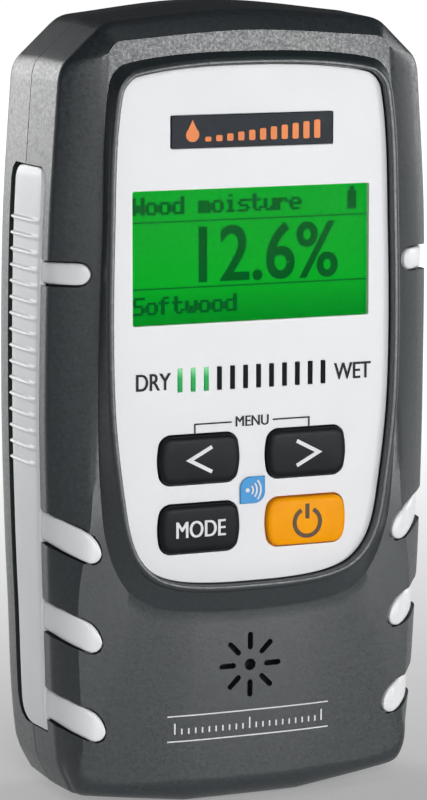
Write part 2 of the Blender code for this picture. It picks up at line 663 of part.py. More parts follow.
def make_keys():
    for name, x, z in key_centres():
        finish = "key_orange" if name == "key_power" else "key_black"
        outline = key_outline(x, z)
        rings = ((-KEY_PROUD, 0.55), (-KEY_PROUD + 0.15, 0.2), (-KEY_PROUD + 0.5, 0.0),
                 (1.75, 0.0), (1.75, -0.9), (2.5, -0.9))
        prism(name, outline, [depth for depth, _ in rings], finish, [inset for _, inset in rings])


def make_keypad_mat():
    sheet = rounded_rectangle(0, (KEY_TOP_Z + KEY_LOW_Z) / 2, *MAT_SIZE, 2.0)
    mat = prism("keypad_mat", sheet, MAT_DEPTHS, "pad_black")
    for name, x, z in key_centres():
        join(mat, prism(f"{name}_plunger", disc(x, z, PLUNGER_RADIUS, 16), (4.4, 8.2), "pad_black"))
        join(mat, prism(f"{name}_dome", disc(x, z, DOME_RADIUS, 16), (3.4, 4.4), "pad_black",
                        (1.0, 0.0)))


def make_display():
    x, z, width, height = WINDOW
    prism("display_lens", rounded_rectangle(x, z, width - 0.3, height - 0.3, 0.3, steps=2),
          LENS_DEPTHS, "clear")
    prism("lcd_glass", rounded_rectangle(x, z, *GLASS_SIZE, 0.4, steps=2), GLASS_DEPTHS,
          "display_green")
    prism("backlight_diffuser", rounded_rectangle(x, z, *DIFFUSER_SIZE, 0.4, steps=2),
          DIFFUSER_DEPTHS, "panel_white")
    frame = prism("lcd_frame", rounded_rectangle(x, z, *FRAME_SIZE, 1.0, steps=2), FRAME_DEPTHS,
                  "key_black")
    well = rounded_rectangle(x, z, *FRAME_WELL, 0.6, steps=2)
    cut(frame, prism("lcd_frame_well", well, (3.0, 9.5), "key_black"))
    low, high = CONTACT_STRIP_DROP
    strip = box_outline(-CONTACT_STRIP_HALF, CONTACT_STRIP_HALF, z - low, z - high)
    prism("lcd_contact_strip", strip, (3.7, 8.5), "pad_black")


# ---------------------------------------------------------------- inside

def make_electronics():
    board = prism("main_board", rounded_rectangle(0, BOARD_Z, *BOARD_SIZE, 3.0), BOARD_DEPTHS,
                  "board_green")
    for side in (-1, 1):
        hole = disc(side * BOARD_HOLE_X, BOARD_HOLE_Z, BOARD_HOLE_RADIUS, 12)
        cut(board, prism(f"board_hole_{side}", hole, (8, 11), "board_green"))
    prism("buzzer", disc(0, GRILLE_Z, BUZZER_RADIUS, 24), BUZZER_DEPTHS, "pad_black")
    prism("buzzer_gauze", disc(0, GRILLE_Z, GAUZE_RADIUS, 24), GAUZE_DEPTHS, "pad_black")
    prism("sensor_board", rounded_rectangle(0, SENSOR_BOARD_Z, *SENSOR_BOARD_SIZE, 3.0),
          SENSOR_BOARD_DEPTHS, "board_green")
    prism("board_connector", box_outline(*CONNECTOR), (10.8, 29.6), "pad_black")
    for label, z in PAD_SPOTS:
        pad = rounded_rectangle(0, z, PAD_SIZE[0], PAD_SIZE[1], 3.2)
        rings = ((BACK_DEPTH - 0.8, 0.0), (BACK_DEPTH + PAD_PROUD - 0.3, 0.0),
                 (BACK_DEPTH + PAD_PROUD, 0.4))
        prism(f"sensor_pad_{label}", pad, [depth for depth, _ in rings], "pad_black",
              [inset for _, inset in rings])


def make_battery():
    body = rounded_rectangle(0, BATTERY_Z, *BATTERY_SIZE, 2.0)
    prism("battery", body, BATTERY_DEPTHS, "battery_wrap")
    top = BATTERY_Z + BATTERY_SIZE[1] / 2
    for label, x, radius in STUDS:
        stud = bmesh.new()
        rings = []
        for height, share in ((top + FIT, 1.0), (top + 1.8, 0.9), (top + 2.4, 0.7)):
            circle = disc(x, STUD_DEPTH, radius * share, 16)
            rings.append([(across, depth, height) for across, depth in circle])
        skin(stud, rings, cap_start=True, cap_end=True)
        publish(f"battery_stud_{label}", stud, "steel")
    clip = box_outline(-CLIP_HALF, CLIP_HALF, top + 2.7, top + 4.2)
    prism("battery_clip", clip, CLIP_DEPTHS, "pad_black")


def make_battery_door():
    height = BAY_HIGH - BAY_LOW + 2 * DOOR_LAP - 2 * FIT
    width = 2 * (BAY_X + DOOR_LAP) - 2 * FIT
    middle = (BAY_LOW + BAY_HIGH) / 2
    outline = rounded_rectangle(0, middle, width, height, 1.8)
    depths = (BACK_DEPTH - DOOR_THICKNESS, BACK_DEPTH - 0.25, BACK_DEPTH - 0.05)
    door = prism("battery_door", outline, depths, "housing", (0.0, 0.0, 0.25))
    catch = rounded_rectangle(0, BAY_HIGH - 1.4, *CATCH_SIZE, 0.3, steps=1)
    join(door, prism("door_catch", catch, (CATCH_FRONT, BACK_DEPTH - 0.9), "housing"))
    for index in range(DOOR_GROOVES):
        z = BAY_HIGH - 5.0 - DOOR_GROOVE_PITCH * index
        groove = rounded_rectangle(0, z, 14.0, 0.9, 0.3, steps=1)
        cut(door, prism(f"door_groove_{index}", groove, (BACK_DEPTH - 0.55, BACK_DEPTH + 1),
                        "housing"))
    return door


def make_screws():
    for label, x, z in SCREW_SPOTS:
        bm = bmesh.new()
        rings = []
        for depth, radius in SCREW_PROFILE:
            rings.append([(across, depth, height) for across, height in disc(x, z, radius, 16)])
        skin(bm, rings, cap_start=True, cap_end=True)
        screw = publish(f"case_screw_{label}", bm, "steel")
        upright = box_outline(x - DRIVE_HALF, x + DRIVE_HALF, z - DRIVE_ARM, z + DRIVE_ARM)
        level = box_outline(x - DRIVE_ARM, x + DRIVE_ARM, z - DRIVE_HALF, z + DRIVE_HALF)
        for turn, outline in (("upright", upright), ("level", level)):
            cut(screw, prism(f"drive_{label}_{turn}", outline, DRIVE_DEPTHS, "steel"))


def main():
    clear_scene()
    rails = {name: rail(name) for name in RAILS}
    outside, inside = front_skin_rings()
    tree = front_surface(outside)
    make_front_shell(rails, outside, inside, tree)
    make_rear_shell(rails, tree)
    make_grip("left_grip", rails, tree, -1)
    make_grip("right_grip", rails, tree, 1)
    make_front_panel()
    make_panel_trim()
    make_keys()
    make_keypad_mat()
    make_display()
    make_electronics()
    make_battery()
    make_battery_door()
    make_screws()


main()
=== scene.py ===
"""Looks for the handheld moisture meter: refined housing, grips, panel, keys, display and print,
with node materials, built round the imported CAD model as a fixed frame.

Lengths are in millimetres until publish() turns them into metres.  Outlines are drawn in X and
Z, and "depth" is the distance behind the face of the front panel, as in the CAD source.
"""
import math

import bmesh
import bpy
from mathutils import Matrix, Vector
from mathutils.bvhtree import BVHTree


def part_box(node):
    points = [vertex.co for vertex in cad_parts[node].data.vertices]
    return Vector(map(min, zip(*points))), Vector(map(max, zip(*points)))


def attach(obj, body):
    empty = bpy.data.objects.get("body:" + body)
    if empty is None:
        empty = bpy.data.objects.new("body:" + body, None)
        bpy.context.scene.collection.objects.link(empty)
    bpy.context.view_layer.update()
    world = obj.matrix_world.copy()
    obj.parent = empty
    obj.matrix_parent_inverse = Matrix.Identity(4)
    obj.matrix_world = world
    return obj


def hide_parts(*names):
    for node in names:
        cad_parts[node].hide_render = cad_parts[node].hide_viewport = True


MM = 0.001
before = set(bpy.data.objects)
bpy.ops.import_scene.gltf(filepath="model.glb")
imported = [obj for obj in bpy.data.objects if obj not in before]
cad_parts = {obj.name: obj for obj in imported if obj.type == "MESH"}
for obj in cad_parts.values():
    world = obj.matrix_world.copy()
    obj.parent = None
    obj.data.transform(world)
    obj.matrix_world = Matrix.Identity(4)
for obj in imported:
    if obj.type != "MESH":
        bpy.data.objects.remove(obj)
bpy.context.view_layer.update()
PANEL_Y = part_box("front_panel")[0][1] / MM

# -------- shape of the real object

SEGMENT_STEPS = (12, 6, 10, 9, 6, 9, 9, 7, 10, 3)
SHARP = {"rim": (1, 2, 8, 9), "foot": (1, 2, 8, 9), "crease": (1,), "lip_foot": (), "panel": ()}
BASE_HALF = 12.0
RAILS = {                    # (half width, depth, height) from the top centre to the bottom centre
    "rim": ((0, 18.5, 154.6), (27.8, 18.5, 152.0), (37.4, 18.5, 143.2), (39.5, 18.5, 113),
            (40.1, 18.5, 80), (39.8, 18.5, 58), (39.2, 18.5, 40), (37.7, 18.5, 10.4),
            (34.4, 18.5, 2.9), (BASE_HALF, 18.5, 0), (0, 18.5, 0)),
    "foot": ((0, 5.4, 153.3), (28.3, 4.6, 151.3), (37.1, 4.9, 143.0), (39.1, 5.3, 113),
             (39.7, 6.4, 80), (39.4, 6.7, 58), (38.9, 7.3, 40), (37.1, 8.4, 10.5),
             (34.1, 9.0, 3.1), (BASE_HALF, 9.4, 0), (0, 9.4, 0)),
    "crease": ((0, 1.0, 149.6), (27.2, 1.0, 148.0), (29.2, 0.8, 144.8), (30.6, 0.8, 113),
               (31.5, 1.5, 80), (32.5, 1.6, 58), (34.8, 2.5, 42.5), (33.8, 3.0, 15),
               (32.4, 3.6, 7.6), (BASE_HALF, 1.5, 5.8), (0, 1.3, 5.6)),
    "lip_foot": ((0, 1.0, 145.7), (25.2, 0.9, 143.9), (28.9, 0.7, 140.0), (30.3, 0.6, 113),
                 (31.1, 1.4, 80), (30.3, 1.6, 59), (28.4, 1.7, 49.7), (24.6, 1.5, 43),
                 (19.5, 1.1, 39.9), (11, 0.8, 38.5), (0, 0.6, 38.1)),
    "panel": ((0, 0, 143.2), (23.6, 0, 141.4), (26.9, 0, 137.8), (28.5, 0, 113),
              (28.6, 0, 80), (26.3, 0, 59), (24.4, 0, 51.8), (21.0, 0, 47.4),
              (16.3, 0, 45.3), (9, 0, 44.3), (0, 0, 44.1)),
}
# The raised lip round the panel: (distance outside the panel's edge, depth), outside first.
LIP_PROFILE = ((1.62, -1.35), (1.5, -1.68), (1.25, -1.95), (0.9, -2.08), (0.5, -2.08),
               (0.28, -2.0), (0.2, -1.85), (0.2, 1.8))
LEDGE = ((-1.7, 1.8), (-1.7, 3.4))
BEVEL_RAILS = 7
ROUND_KEYS = (1, 2, 8)       # corners of the rails that are rounded over their neighbours
FOOT_ROUND = 0.9
PARTING_SLOT, PARTING_SLOT_DEPTH = 0.3, 0.8
BEVEL_ROLL = 0.12            # how far the bevel bulges: 0 is flat, 1 reaches the corner
HEEL_ROLL, HEEL_TOP, HEEL_BLEND = 0.9, 12.0, 7.0
WALL = 2.5
PARTING_DEPTH, BACK_DEPTH, FIT = 18.5, 35.0, 0.3

GRIP_TOP, GRIP_BOTTOM = 124.0, 15.5
GRIP_SETBACK, GRIP_REAR, CHANNEL_REAR = 3.5, 23.3, 26.4
GRIP_PROUD, GRIP_SUNK = 0.35, 1.1
GRIP_HIGH_ROUND, GRIP_PULL = 3.0, 2.2        # length and depth of the round upper end
GRIP_LOW_ROUND, GRIP_LOW_PULL = 4.5, 3.9     # and of the lower one
GRIP_END_DROP = 0.35
GRIP_STEPS = 420
GRIP_PROFILE = ((0.0, 0.55), (0.008, 0.25), (0.03, 0.06), (0.07, 0.0), (0.2, 0.0), (0.35, 0.0),
                (0.5, 0.0), (0.65, 0.0), (0.8, 0.0), (0.93, 0.0), (0.97, 0.06), (0.992, 0.25),
                (1.0, 0.55))                 # (share from front to rear, drop)
TONGUES = ((104.6, 2.05, 0.0, 32.4), (55.6, 2.95, 0.48, 30.5),
           (38.1, 2.95, 0.48, 30.3), (20.6, 2.95, 0.48, 29.4))
TONGUE_PROUD, TONGUE_SUNK, NOTCH_GAP, NOTCH_DEPTH = 0.5, 0.85, 0.4, 1.3
TONGUE_PROFILE = ((-1.0, 0.62), (-0.97, 0.28), (-0.86, 0.08), (-0.6, 0.0), (0.0, -0.06),
                  (0.6, 0.0), (0.86, 0.08), (0.97, 0.28), (1.0, 0.62))   # (share, drop)
TONGUE_SMOOTHING = 6
RIB_COUNT, RIB_TOP, RIB_PITCH = 16, 114.0, 3.1
RIB_HEIGHT, RIB_HALF = 0.5, 0.45

PANEL_THICKNESS = 1.4
WINDOW = (0.0, 107.2, 49.0, 25.5)
PLATE = (0.0, 130.8, 33.7, 6.5)
BAR_COUNT, BARS_LIT, BAR_PITCH, BAR_SIZE, BAR_Z = 12, 3, 2.71, (1.05, 4.6), 83.8
KEY_SIZE, KEY_BULGE, KEY_ROUND, KEY_GAP = (16.4, 9.2), 0.9, 1.5, 0.35
KEYS = {"key_back": (-11.15, 68.5), "key_forward": (11.15, 68.5),
        "key_mode": (-11.15, 55.2), "key_power": (11.15, 55.2)}
KEY_PROFILE = ((1.75, 0.0), (-0.45, 0.0), (-0.72, 0.07), (-0.9, 0.24), (-1.0, 0.5),
               (-1.05, 0.9), (-1.08, 1.35))
KEY_FLANGE = ((2.5, -0.9), (1.75, -0.9))
BADGE = (0.0, 61.8, 5.2, 5.2)
GRILLE_Z, GRILLE_SLOTS = 27.4, 8
GRILLE_INNER, GRILLE_OUTER, GRILLE_SLOT_WIDTH, GRILLE_EYE = 3.5, 5.9, 1.1, 1.15

BAY_X, BAY_LOW, BAY_HIGH, BAY_FRONT, DOOR_LAP, DOOR_THICKNESS = 14.6, 12.0, 68.0, 14.4, 1.6, 1.6
SCREW_SPOTS = ((-29.0, 140.0), (29.0, 140.0), (-27.5, 12.5), (27.5, 12.5))
SCREW_HOLE, SCREW_SEAT = 3.1, 29.6
PAD_SIZE, PAD_HEIGHTS, PAD_RIBS, PAD_RIB_PITCH = (46.0, 9.0), (130.0, 96.0), 19, 2.1


# -------- materials

NOISE_LOW, NOISE_HIGH = 0.3, 0.7             # the part of the noise that the ramps use
GRAIN_HEIGHT = 0.00002                       # metres
COAT_ROUGHNESS = 0.12


def link(tree, source, output, target, socket):
    tree.links.new(source.outputs[output], target.inputs[socket])


def settle(node, values):
    """Sets a node's unlinked inputs by name."""
    for socket, value in values.items():
        node.inputs[socket].default_value = value


def noise_node(tree, coordinates, scale, detail):
    node = tree.nodes.new("ShaderNodeTexNoise")
    settle(node, {"Scale": scale, "Detail": detail})
    link(tree, coordinates, "Object", node, "Vector")
    return node


def finish(dark, light, roughness, spread=0.06, cloud=90.0, grain=2600.0, relief=0.0,
           metallic=0.0, specular=0.5, coat=0.0, emission=None, glow=0.0, transmission=0.0,
           ior=1.5):
    """Material with clouded colour and roughness over a fine grain.

    dark and light are linear colours, and cloud and grain are noise scales per metre.
    """
    made = bpy.data.materials.new("finish")
    made.use_nodes = True
    tree = made.node_tree
    shader = tree.nodes["Principled BSDF"]
    settle(shader, {"Metallic": metallic, "Specular IOR Level": specular, "Coat Weight": coat,
                    "Coat Roughness": COAT_ROUGHNESS, "Transmission Weight": transmission,
                    "IOR": ior})
    coordinates = tree.nodes.new("ShaderNodeTexCoord")
    clouds = noise_node(tree, coordinates, cloud, 4.0)
    colours = tree.nodes.new("ShaderNodeValToRGB")
    colours.color_ramp.elements[0].position = NOISE_LOW
    colours.color_ramp.elements[0].color = (*dark, 1.0)
    colours.color_ramp.elements[1].position = NOISE_HIGH
    colours.color_ramp.elements[1].color = (*light, 1.0)
    link(tree, clouds, "Fac", colours, "Fac")
    link(tree, colours, "Color", shader, "Base Color")
    speckle = noise_node(tree, coordinates, grain, 2.0)
    rough = tree.nodes.new("ShaderNodeMapRange")
    settle(rough, {"From Min": NOISE_LOW, "From Max": NOISE_HIGH,
                   "To Min": roughness - spread, "To Max": roughness + spread})
    link(tree, speckle if relief else clouds, "Fac", rough, "Value")
    link(tree, rough, "Result", shader, "Roughness")
    if relief:
        bump = tree.nodes.new("ShaderNodeBump")
        settle(bump, {"Strength": relief, "Distance": GRAIN_HEIGHT})
        link(tree, speckle, "Fac", bump, "Height")
        link(tree, bump, "Normal", shader, "Normal")
    if emission:
        settle(shader, {"Emission Color": (*emission, 1.0), "Emission Strength": glow})
    return made


def add_glow(made, axis, low, high, stops, strength):
    """Emission that changes along an axis, between two places in metres, through the stops."""
    tree = made.node_tree
    shader = tree.nodes["Principled BSDF"]
    coordinates = next(node for node in tree.nodes if node.type == "TEX_COORD")
    split = tree.nodes.new("ShaderNodeSeparateXYZ")
    link(tree, coordinates, "Object", split, "Vector")
    place = tree.nodes.new("ShaderNodeMapRange")
    settle(place, {"From Min": low, "From Max": high})
    link(tree, split, axis, place, "Value")
    ramp = tree.nodes.new("ShaderNodeValToRGB")
    elements = ramp.color_ramp.elements
    elements.remove(elements[1])
    elements[0].position = stops[0][0]
    elements[0].color = (*stops[0][1], 1.0)
    for position, colour in stops[1:]:
        elements.new(position).color = (*colour, 1.0)
    link(tree, place, "Result", ramp, "Fac")
    link(tree, ramp, "Color", shader, "Emission Color")
    settle(shader, {"Emission Strength": strength})
    return made


def screen_finish():
    """Backlit green display, darker toward the lower edge."""
    made = finish((0.0, 0.020, 0.003), (0.0, 0.026, 0.004), 0.5, specular=0.02)
    low, high = WINDOW[1] - WINDOW[3] / 2, WINDOW[1] + WINDOW[3] / 2
    stops = ((0.0, (0.0, 0.23, 0.010)), (0.3, (0.0, 0.37, 0.012)), (1.0, (0.0, 0.36, 0.016)))
    return add_glow(made, "Z", low * MM, high * MM, stops, 1.0)


def lit_bar_finish():
    """Lit bar: darker green below, with a painted highlight, a whitish glow, at its upper end."""
    made = finish((0.0, 0.16, 0.03), (0.0, 0.20, 0.04), 0.25, specular=0.1)
    low, high = BAR_Z - BAR_SIZE[1] / 2, BAR_Z + BAR_SIZE[1] / 2
    # the last stop is a painted highlight: near-white glow at the bar's upper end
    stops = ((0.0, (0.0, 0.24, 0.04)), (0.6, (0.01, 0.36, 0.08)), (1.0, (0.45, 0.95, 0.55)))
    return add_glow(made, "Z", low * MM, high * MM, stops, 0.6)


def floor_finish():
    """Pale floor that is lit from below behind the object, as on a studio light table."""
    made = finish((0.60, 0.60, 0.60), (0.62, 0.62, 0.62), 0.6, cloud=3.0, specular=0.2)
    stops = ((0.0, (0.12, 0.12, 0.12)), (1.0, (0.97, 0.97, 0.97)))
    return add_glow(made, "Y", -0.1, 0.5, stops, 1.0)


FINISHES = {
    "housing": finish((0.007, 0.012, 0.015), (0.019, 0.028, 0.032), 0.38,
                      spread=0.08, cloud=1500.0, grain=1600.0, relief=0.7, specular=0.9),
    "grip": finish((0.79, 0.8, 0.82), (0.82, 0.83, 0.85), 0.33, spread=0.04,
                   grain=4200.0, relief=0.03),
    "panel": finish((0.775, 0.785, 0.805), (0.8, 0.81, 0.83), 0.42, spread=0.05,
                    grain=5200.0, relief=0.08),
    "diffuser": finish((0.78, 0.82, 0.78), (0.86, 0.88, 0.85), 0.5, relief=0.1),
    "key_black": finish((0.008, 0.01, 0.012), (0.012, 0.014, 0.016), 0.36,
                        spread=0.06, grain=3800.0, relief=0.25, specular=0.1),
    "key_orange": finish((0.88, 0.3, 0.0), (0.98, 0.38, 0.0), 0.36,
                         spread=0.05, grain=3800.0, relief=0.2, specular=0.08),
    "silicone": finish((0.09, 0.09, 0.1), (0.12, 0.12, 0.13), 0.6, relief=0.2),
    "sensor_rubber": finish((0.014, 0.014, 0.015), (0.022, 0.022, 0.023), 0.62,
                            spread=0.1, grain=1800.0, relief=0.5),
    "screen": screen_finish(),
    "dots": finish((0.0, 0.01, 0.003), (0.0, 0.014, 0.004), 0.5,
                   specular=0.02, emission=(0.0, 0.098, 0.01), glow=0.9),
    "bar_lit": lit_bar_finish(),
    "bar_dark": finish((0.006, 0.007, 0.008), (0.01, 0.011, 0.012), 0.35,
                       specular=0.03),
    "plate": finish((0.012, 0.017, 0.024), (0.015, 0.021, 0.029), 0.38,
                    relief=0.1, specular=0.1),
    "orange_print": finish((0.78, 0.185, 0.012), (0.84, 0.21, 0.016), 0.45,
                           relief=0.1),
    "badge": finish((0.0, 0.255, 0.62), (0.0, 0.285, 0.67), 0.4, relief=0.1),
    "white_print": finish((0.72, 0.73, 0.74), (0.8, 0.81, 0.82), 0.5, relief=0.1),
    "black_print": finish((0.01, 0.01, 0.011), (0.016, 0.016, 0.017), 0.5,
                          relief=0.1, specular=0.2),
    "brown_print": finish((0.06, 0.026, 0.004), (0.075, 0.032, 0.005), 0.5,
                          relief=0.1),
    "board": finish((0.01, 0.115, 0.04), (0.016, 0.15, 0.055), 0.35, cloud=260.0,
                    spread=0.08, relief=0.2, coat=0.3),
    "steel": finish((0.46, 0.47, 0.49), (0.6, 0.61, 0.63), 0.32, cloud=500.0,
                    metallic=1.0, relief=0.2),
    "nickel": finish((0.55, 0.55, 0.54), (0.68, 0.67, 0.65), 0.24, cloud=500.0,
                     metallic=1.0, relief=0.1),
    "battery": finish((0.03, 0.045, 0.075), (0.045, 0.062, 0.095), 0.34,
                      relief=0.1, coat=0.3),
    "inner_plastic": finish((0.022, 0.023, 0.026), (0.034, 0.035, 0.04), 0.5,
                            relief=0.3),
    "gauze": finish((0.01, 0.01, 0.011), (0.022, 0.022, 0.024), 0.75,
                    grain=1400.0, relief=0.9),
    "lens": finish((0.92, 0.96, 0.94), (0.95, 0.98, 0.96), 0.04, spread=0.01,
                   transmission=1.0, ior=1.03),
    "floor": floor_finish(),
}
for finish_name, finish_material in FINISHES.items():
    finish_material.name = finish_name


# -------- building blocks

def publish(name, bm, material, body="housing", smooth_angle=32.0):
    """Turns a bmesh in (x, depth, z) millimetres into a piece that rides on a body."""
    for vertex in bm.verts:
        vertex.co = Vector((vertex.co.x, PANEL_Y + vertex.co.y, vertex.co.z)) * MM
    mesh = bpy.data.meshes.new(name)
    bm.to_mesh(mesh)
    bm.free()
    piece = bpy.data.objects.new(name, mesh)
    piece.data.materials.append(FINISHES[material])
    bpy.context.scene.collection.objects.link(piece)
    smooth(piece, smooth_angle)
    if body:
        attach(piece, body)
    return piece


def smooth(piece, angle):
    """Shades the piece smooth, apart from edges sharper than the angle in degrees."""
    piece.data.shade_smooth()
    piece.data.set_sharp_from_angle(angle=math.radians(angle))


def skin(bm, rings, closed=False, cap_start=False, cap_end=False):
    """Joins rings of equal length with quads that face outward.

    closed also joins the last ring to the first.
    """
    made = [[bm.verts.new(point) for point in ring] for ring in rings]
    pairs = list(zip(made, made[1:]))
    if closed:
        pairs.append((made[-1], made[0]))
    faces = []
    for first, second in pairs:
        for index in range(len(first)):
            after = (index + 1) % len(first)
            quad = (first[index], first[after], second[after], second[index])
            faces.append(bm.faces.new(quad))
    if cap_start:
        faces.append(bm.faces.new(made[0][::-1]))
    if cap_end:
        faces.append(bm.faces.new(made[-1]))
    for face in faces:
        face.normal_update()
    volume = sum(face.calc_center_median().dot(face.normal) * face.calc_area() for face in faces)
    if volume < 0.0:
        bmesh.ops.reverse_faces(bm, faces=faces)


def shift_outline(outline, distance):
    """Moves each side of a closed outline outward by distance (inward when negative)."""
    if distance == 0.0:
        return list(outline)
    area = sum(a[0] * b[1] - b[0] * a[1] for a, b in zip(outline, outline[1:] + outline[:1]))
    turn = 1.0 if area > 0 else -1.0
    moved = []
    count = len(outline)
    for index, (x, z) in enumerate(outline):
        before, after = outline[index - 1], outline[(index + 1) % count]
        first = Vector((x - before[0], z - before[1])).normalized()
        second = Vector((after[0] - x, after[1] - z)).normalized()
        normal_a = Vector((first.y, -first.x)) * turn
        normal_b = Vector((second.y, -second.x)) * turn
        middle = (normal_a + normal_b).normalized()
        reach = distance / max(0.5, middle.dot(normal_a))
        moved.append((x + middle.x * reach, z + middle.y * reach))
    return moved


def add_prism(bm, outline, depths, insets=None):
    """Adds one outline in X and Z swept through the given depths, each with its inset."""
    insets = insets or [0.0] * len(depths)
    rings = []
    for depth, inset in zip(depths, insets):
        rings.append([(x, depth, z) for x, z in shift_outline(outline, -inset)])
    skin(bm, rings, cap_start=True, cap_end=True)


def prism(name, outline, depths, material, insets=None, body="housing", smooth_angle=32.0):
    bm = bmesh.new()
    add_prism(bm, outline, depths, insets)
    return publish(name, bm, material, body, smooth_angle)


def cutter(outline, depths, material="housing"):
    """A prism for carve(), which gives the cut faces its material."""
    return prism("cutter", outline, depths, material, body=None)


def rounded_rectangle(centre_x, centre_z, width, height, radius, bulge=0.0, steps=8):
    """Outline with round corners; bulge bows the left and right sides outward."""
    points = []
    corners = ((1, 1, 0), (-1, 1, 90), (-1, -1, 180), (1, -1, 270))
    for sign_x, sign_z, start in corners:
        for step in range(steps + 1):
            angle = math.radians(start + 90.0 * step / steps)
            x = sign_x * (width / 2 - radius) + radius * math.cos(angle)
            z = sign_z * (height / 2 - radius) + radius * math.sin(angle)
            points.append((x, z))
        if bulge and sign_x == -sign_z:
            for share in (0.75, 0.5, 0.25, 0.0, -0.25, -0.5, -0.75):
                points.append((sign_x * width / 2, -sign_x * share * (height / 2 - radius)))
    if bulge:
        points = [(x - math.copysign(bulge, x) * (2 * z / height) ** 2, z) for x, z in points]
    return [(centre_x + x, centre_z + z) for x, z in points]


def disc(centre_x, centre_z, radius, steps=32):
    return [(centre_x + radius * math.cos(2 * math.pi * step / steps),
             centre_z + radius * math.sin(2 * math.pi * step / steps)) for step in range(steps)]


def carve(piece, cutters, angle):
    """Cuts the cutters out of the piece for good, and removes them."""
    for cutter in cutters:
        modifier = piece.modifiers.new("cut", "BOOLEAN")
        modifier.operation = "DIFFERENCE"
        modifier.object = cutter
        modifier.solver = "MANIFOLD"
    graph = bpy.context.evaluated_depsgraph_get()
    carved = bpy.data.meshes.new_from_object(piece.evaluated_get(graph))
    piece.modifiers.clear()
    piece.data = carved
    for cutter in cutters:
        bpy.data.objects.remove(cutter, do_unlink=True)
    smooth(piece, angle)
    weighted = piece.modifiers.new("even_normals", "WEIGHTED_NORMAL")
    weighted.keep_sharp = True


# -------- rails of the housing

def smooth_run(keys, steps, start_slope=None, end_slope=None):
    """Cubic through the keys, with the given number of steps between each pair."""
    slopes = []
    for index in range(len(keys)):
        before = keys[max(index - 1, 0)]
        after = keys[min(index + 1, len(keys) - 1)]
        slopes.append((after - before) / max((after - before).length, 1e-9))
    slopes[0] = start_slope or slopes[0]
    slopes[-1] = end_slope or slopes[-1]
    points = []
    for index, count in enumerate(steps):
        start, end = keys[index], keys[index + 1]
        span = (end - start).length
        for step in range(count):
            t = step / count
            points.append(start * (2 * t ** 3 - 3 * t ** 2 + 1)
                          + slopes[index] * span * (t ** 3 - 2 * t ** 2 + t)
                          + end * (3 * t ** 2 - 2 * t ** 3)
                          + slopes[index + 1] * span * (t ** 3 - t ** 2))
    points.append(keys[-1])
    return points


def bend(start, corner, end, t):
    """Point of the curve that leaves start toward corner and arrives at end from it."""
    return start * (1 - t) ** 2 + corner * 2 * t * (1 - t) + end * t * t


def round_corners(points):
    """Replaces the points at ROUND_KEYS with curves between their neighbours."""
    corners = [sum(SEGMENT_STEPS[:key]) for key in ROUND_KEYS]
    made = []
    for index, point in enumerate(points):
        if index not in corners:
            made.append(point)
            continue
        before, after = points[index - 1], points[index + 1]
        for t in (0.2, 0.4, 0.6, 0.8):
            made.append(bend(before, point, after, t))
    return made


def on_side(points, side):
    """The points as they are (side 1), or mirrored to the left (side -1)."""
    return [Vector((side * point.x, point.y, point.z)) for point in points]


def rail(name):
    """Closed loop of points round the housing, from the top centre down the right and back."""
    keys = [Vector(key) for key in RAILS[name]]
    breaks = [0] + list(SHARP[name]) + [len(keys) - 1]
    half = []
    for start, end in zip(breaks, breaks[1:]):
        across = Vector((1.0, 0.0, 0.0)) if start == 0 else None
        back = Vector((-1.0, 0.0, 0.0)) if end == len(keys) - 1 else None
        run = smooth_run(keys[start:end + 1], SEGMENT_STEPS[start:end], across, back)
        half.extend(run if not half else run[1:])
    half = round_corners(half)
    return half + on_side(half[-2:0:-1], -1)


def offset_rail(points, outward, depth=None, deeper=0.0):
    """Shifts a rail in X and Z along its own normal, then sets or changes its depth."""
    moved = shift_outline([(point.x, point.z) for point in points], outward)
    return [Vector((x, point.y + deeper if depth is None else depth, z))
            for (x, z), point in zip(moved, points)]


def bevel_rails(crease, foot, count):
    """Rails between the crease and the foot: nearly flat, and rolled round along the bottom."""
    made = []
    for step in range(1, count + 1):
        t = step / (count + 1)
        ring = []
        for inner, outer in zip(crease, foot):
            low = min(max((HEEL_TOP - outer.z) / HEEL_BLEND, 0.0), 1.0)
            roll = BEVEL_ROLL + (HEEL_ROLL - BEVEL_ROLL) * low * low * (3 - 2 * low)
            corner = Vector((outer.x, inner.y, outer.z))
            control = (inner + outer) / 2 * (1 - roll) + corner * roll
            ring.append(bend(inner, control, outer, t))
        made.append(ring)
    return made


def lookup(points, height):
    """Point of a rail's right-hand side at a given height."""
    side = [point for point in points if point.x > 15.0]
    side.sort(key=lambda point: point.z)
    for low, high in zip(side, side[1:]):
        if low.z <= height <= high.z:
            return low.lerp(high, (height - low.z) / (high.z - low.z))
    return side[0] if height < side[0].z else side[-1]


def between(first, second, share):
    """Rail that lies at a share of the way from one rail to another."""
    return [low.lerp(high, share) for low, high in zip(first, second)]


def rounded_foot(rim, foot, crease):
    """Rails that round the edge between the side and the bevel."""
    made = [[], [], [], []]
    for side, corner, inner in zip(rim, foot, crease):
        start = corner + (side - corner).normalized() * FOOT_ROUND
        end = corner + (inner - corner).normalized() * FOOT_ROUND
        for ring, t in zip(made, (0.0, 0.33, 0.67, 1.0)):
            ring.append(bend(start, corner, end, t))
    return made


